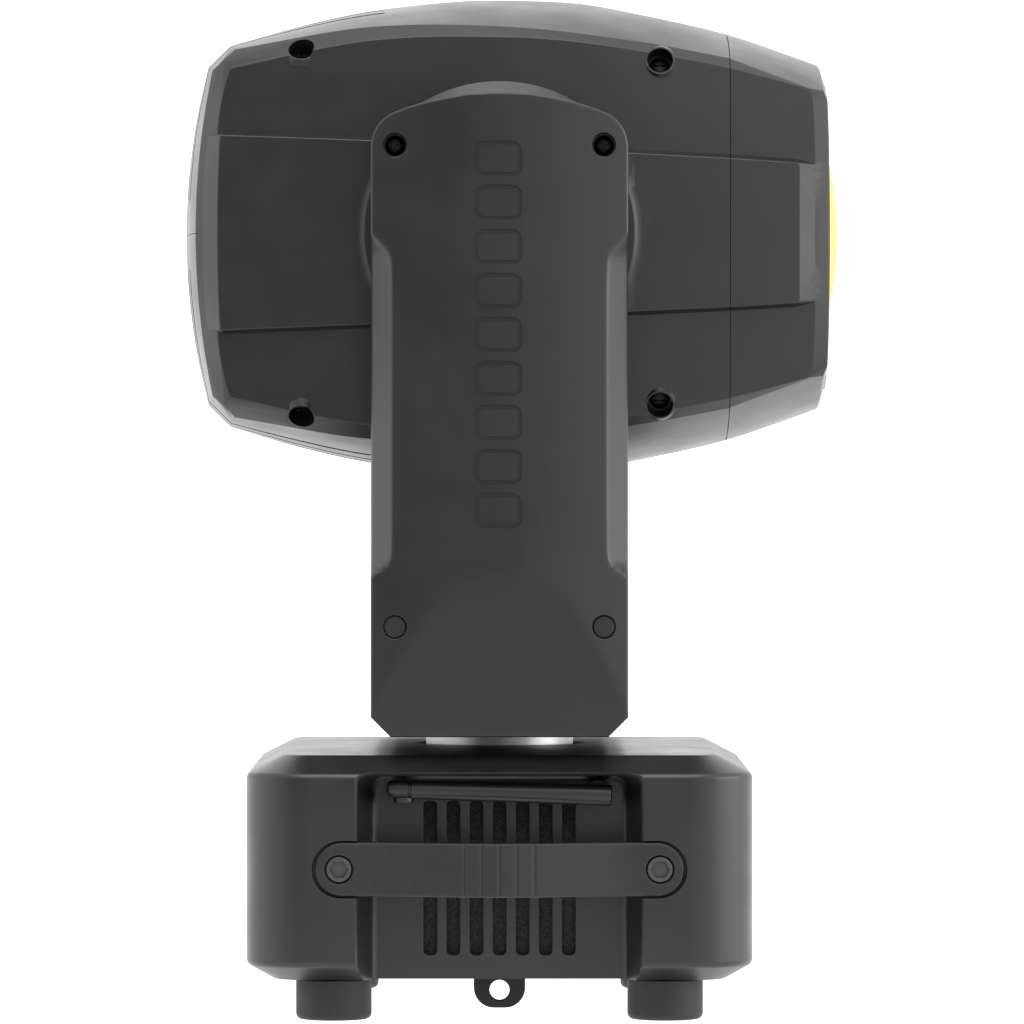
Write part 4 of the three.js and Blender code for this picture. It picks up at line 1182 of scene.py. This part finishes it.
def head_half(up):
    """The top shell of the head, or the bottom one where up is -1."""
    shape = cut(head_form(), head_form(3.0))
    common(shape, block(-200, SEAM_X, -200, 200, TILT_Z + 0.12, TILT_Z + 200))
    for y in (-42, -28, -14, 0, 14, 28, 42):
        cut(shape, slot_tool(y))
    for screw_place in CORNER_SCREWS:
        join(shape, *both_sides(corner_screw_boss, *screw_place))
        cut(shape, *both_sides(corner_screw_tool, *screw_place))
    if up < 0:
        flip = Matrix.Translation((0, 0, 2 * TILT_Z)) @ Matrix.Diagonal((1, 1, -1, 1))
        moved(shape, flip)
    return shape


def bezel():
    """The front of the head, with its part of both side bands and the opening for the lens."""
    low, high = box_mm("front_bezel")
    shape = head_form()
    inside = common(head_form(3.0), block(-200, 116.5, -200, 200, TILT_Z - 200, TILT_Z + 200))
    cut(shape, inside)
    common(shape, block(low.x, 200, -200, 200, TILT_Z - 200, TILT_Z + 200))
    join(shape, *both_sides(band, low.x, 200))
    common(shape, block(low.x, 200, -200, 200, TILT_Z - 200, TILT_Z + 200))
    cut(shape, cutter("x", circle(60.6, (0, TILT_Z), 96), high.x, 119.5, 1.2))
    return cut(shape, cutter("x", circle(56, (0, TILT_Z), 96), 119.5, 80, 0.5))


def lens():
    """The domed front lens."""
    low, high = box_mm("front_lens")
    radius, dome = 60.0, 145.0
    centre = high.x + 0.8 - dome
    edge = math.asin(radius / dome)
    turns = [edge * k / 14 for k in range(14, 0, -1)]
    arc = [(dome * math.sin(a), centre + dome * math.cos(a)) for a in turns]
    return turned("x", [(radius - 1, low.x), (radius, low.x + 0.8)] + arc, (0, TILT_Z), 128)


def lens_ring():
    """The ring that holds the lens in the bezel."""
    section = [(57.5, 124.5), (60.4, 124.5), (60.4, 131.5), (63.4, 133.6), (63.0, 134.6), (60.2, 134.2)]
    return turned("x", section + [(58.4, 130.4)], (0, TILT_Z), 128, looped=True)


def build_head():
    complete(head_half(1), "head_upper_shell", "head", "casing", ["head_top_shell"], sharp=24)
    complete(head_half(-1), "head_lower_shell", "head", "casing", ["head_bottom_shell"], sharp=24)
    complete(bezel(), "head_front_bezel", "head", "casing", ["front_bezel"], sharp=24)
    complete(lens(), "lens_dome", "head", "lens_glass", ["front_lens"])
    complete(lens_ring(), "lens_ring", "head", "panel_plastic")
    for name, side in SIDES.items():
        cover = on_side(side, side_cover())
        complete(cover, f"side_cover_{name}", "head", "casing", [f"head_side_cover_{name}"])
        for x, y, z, rise, depth in CORNER_SCREWS:
            for up in (1, -1):
                down = depth / math.hypot(1, rise)
                place = (x, side * (y - down), TILT_Z + up * (z - down * rise))
                where = ("upper" if up > 0 else "lower") + ("_front" if x > 0 else "_rear")
                fitted = aimed(screw(4.2, 2.2), place, (0, side, up * rise))
                complete(fitted, f"head_screw_{name}_{where}", "head", "black_steel")


# ---- studio


def surround():
    """The studio's white walls, darker towards the place where the viewer stands."""
    world = bpy.data.worlds.new("studio")
    world.use_nodes = True
    tree = world.node_tree
    facing = tree.nodes.new("ShaderNodeVectorMath")
    facing.operation = "DOT_PRODUCT"
    facing.inputs[1].default_value = (-0.3, -0.95, 0)
    tree.links.new(tree.nodes.new("ShaderNodeTexCoord").outputs["Generated"], facing.inputs[0])
    walls = tree.nodes["Background"]
    strength = mapped(tree, facing.outputs["Value"], (0.76, 0.985), (1.7, 0.5), "SMOOTHSTEP")
    tree.links.new(strength, walls.inputs["Strength"])
    walls.inputs["Color"].default_value = (1, 1, 1, 1)
    return world


def softbox(name, place, size, power):
    """A large soft light aimed at the head."""
    light = bpy.data.lights.new(name, "AREA")
    light.size = size
    light.energy = power
    lamp = bpy.data.objects.new(name, light)
    bpy.context.scene.collection.objects.link(lamp)
    lamp.location = place
    lamp.rotation_mode = "QUATERNION"
    lamp.rotation_quaternion = (Vector((0, 0, 0.2)) - lamp.location).to_track_quat("-Z", "Y")


def studio_floor():
    """A white floor that glows a little, less so in front of the light."""
    floor_z = box_mm("foot_1")[0].z
    floor = stack("z", rectangle(-4000, 4000, -1000, 7000, 0.0), [(floor_z - 20, 0), (floor_z - 0.05, 0)])
    floor.name = "floor"
    n = Nodes("floor")
    n.set(Base_Color=(0.05, 0.05, 0.05, 1), Roughness=0.9, Emission_Color=(1, 1, 1, 1))
    split = n.tree.nodes.new("ShaderNodeSeparateXYZ")
    n.link(n.place, split.inputs["Vector"])
    glow = mapped(n.tree, split.outputs["Y"], (-0.6, 0.05), (1.0, 1.9), "SMOOTHSTEP")
    n.link(glow, n.shader.inputs["Emission Strength"])
    floor.data.materials.append(n.material)


def viewer():
    """The camera, square on to the light's right side."""
    camera = bpy.data.objects.new("camera", bpy.data.cameras.new("camera"))
    bpy.context.scene.collection.objects.link(camera)
    camera.data.sensor_width = 36
    camera.data.lens = 288.3
    camera.data.clip_end = 50
    camera.location = Vector((0, -3402, 213.1)) * MM
    camera.rotation_mode = "QUATERNION"
    camera.rotation_quaternion = Vector((12.5, 8200, -62)).to_track_quat("-Z", "Y")
    bpy.context.scene.camera = camera


def build_studio():
    bpy.context.scene.view_settings.view_transform = "Standard"
    bpy.context.scene.world = surround()
    softbox("softbox_right", (2.4, -0.6, 0.5), 2.2, 54)
    softbox("softbox_left", (-2.2, -0.3, 0.6), 1.6, 4)
    softbox("softbox_back", (0, 3.2, 1.0), 3.0, 9)
    softbox("softbox_top", (0, -1.2, 2.4), 1.5, 30)
    studio_floor()
    viewer()


dress_frame()
build_base()
build_yoke()
build_head()
build_studio()
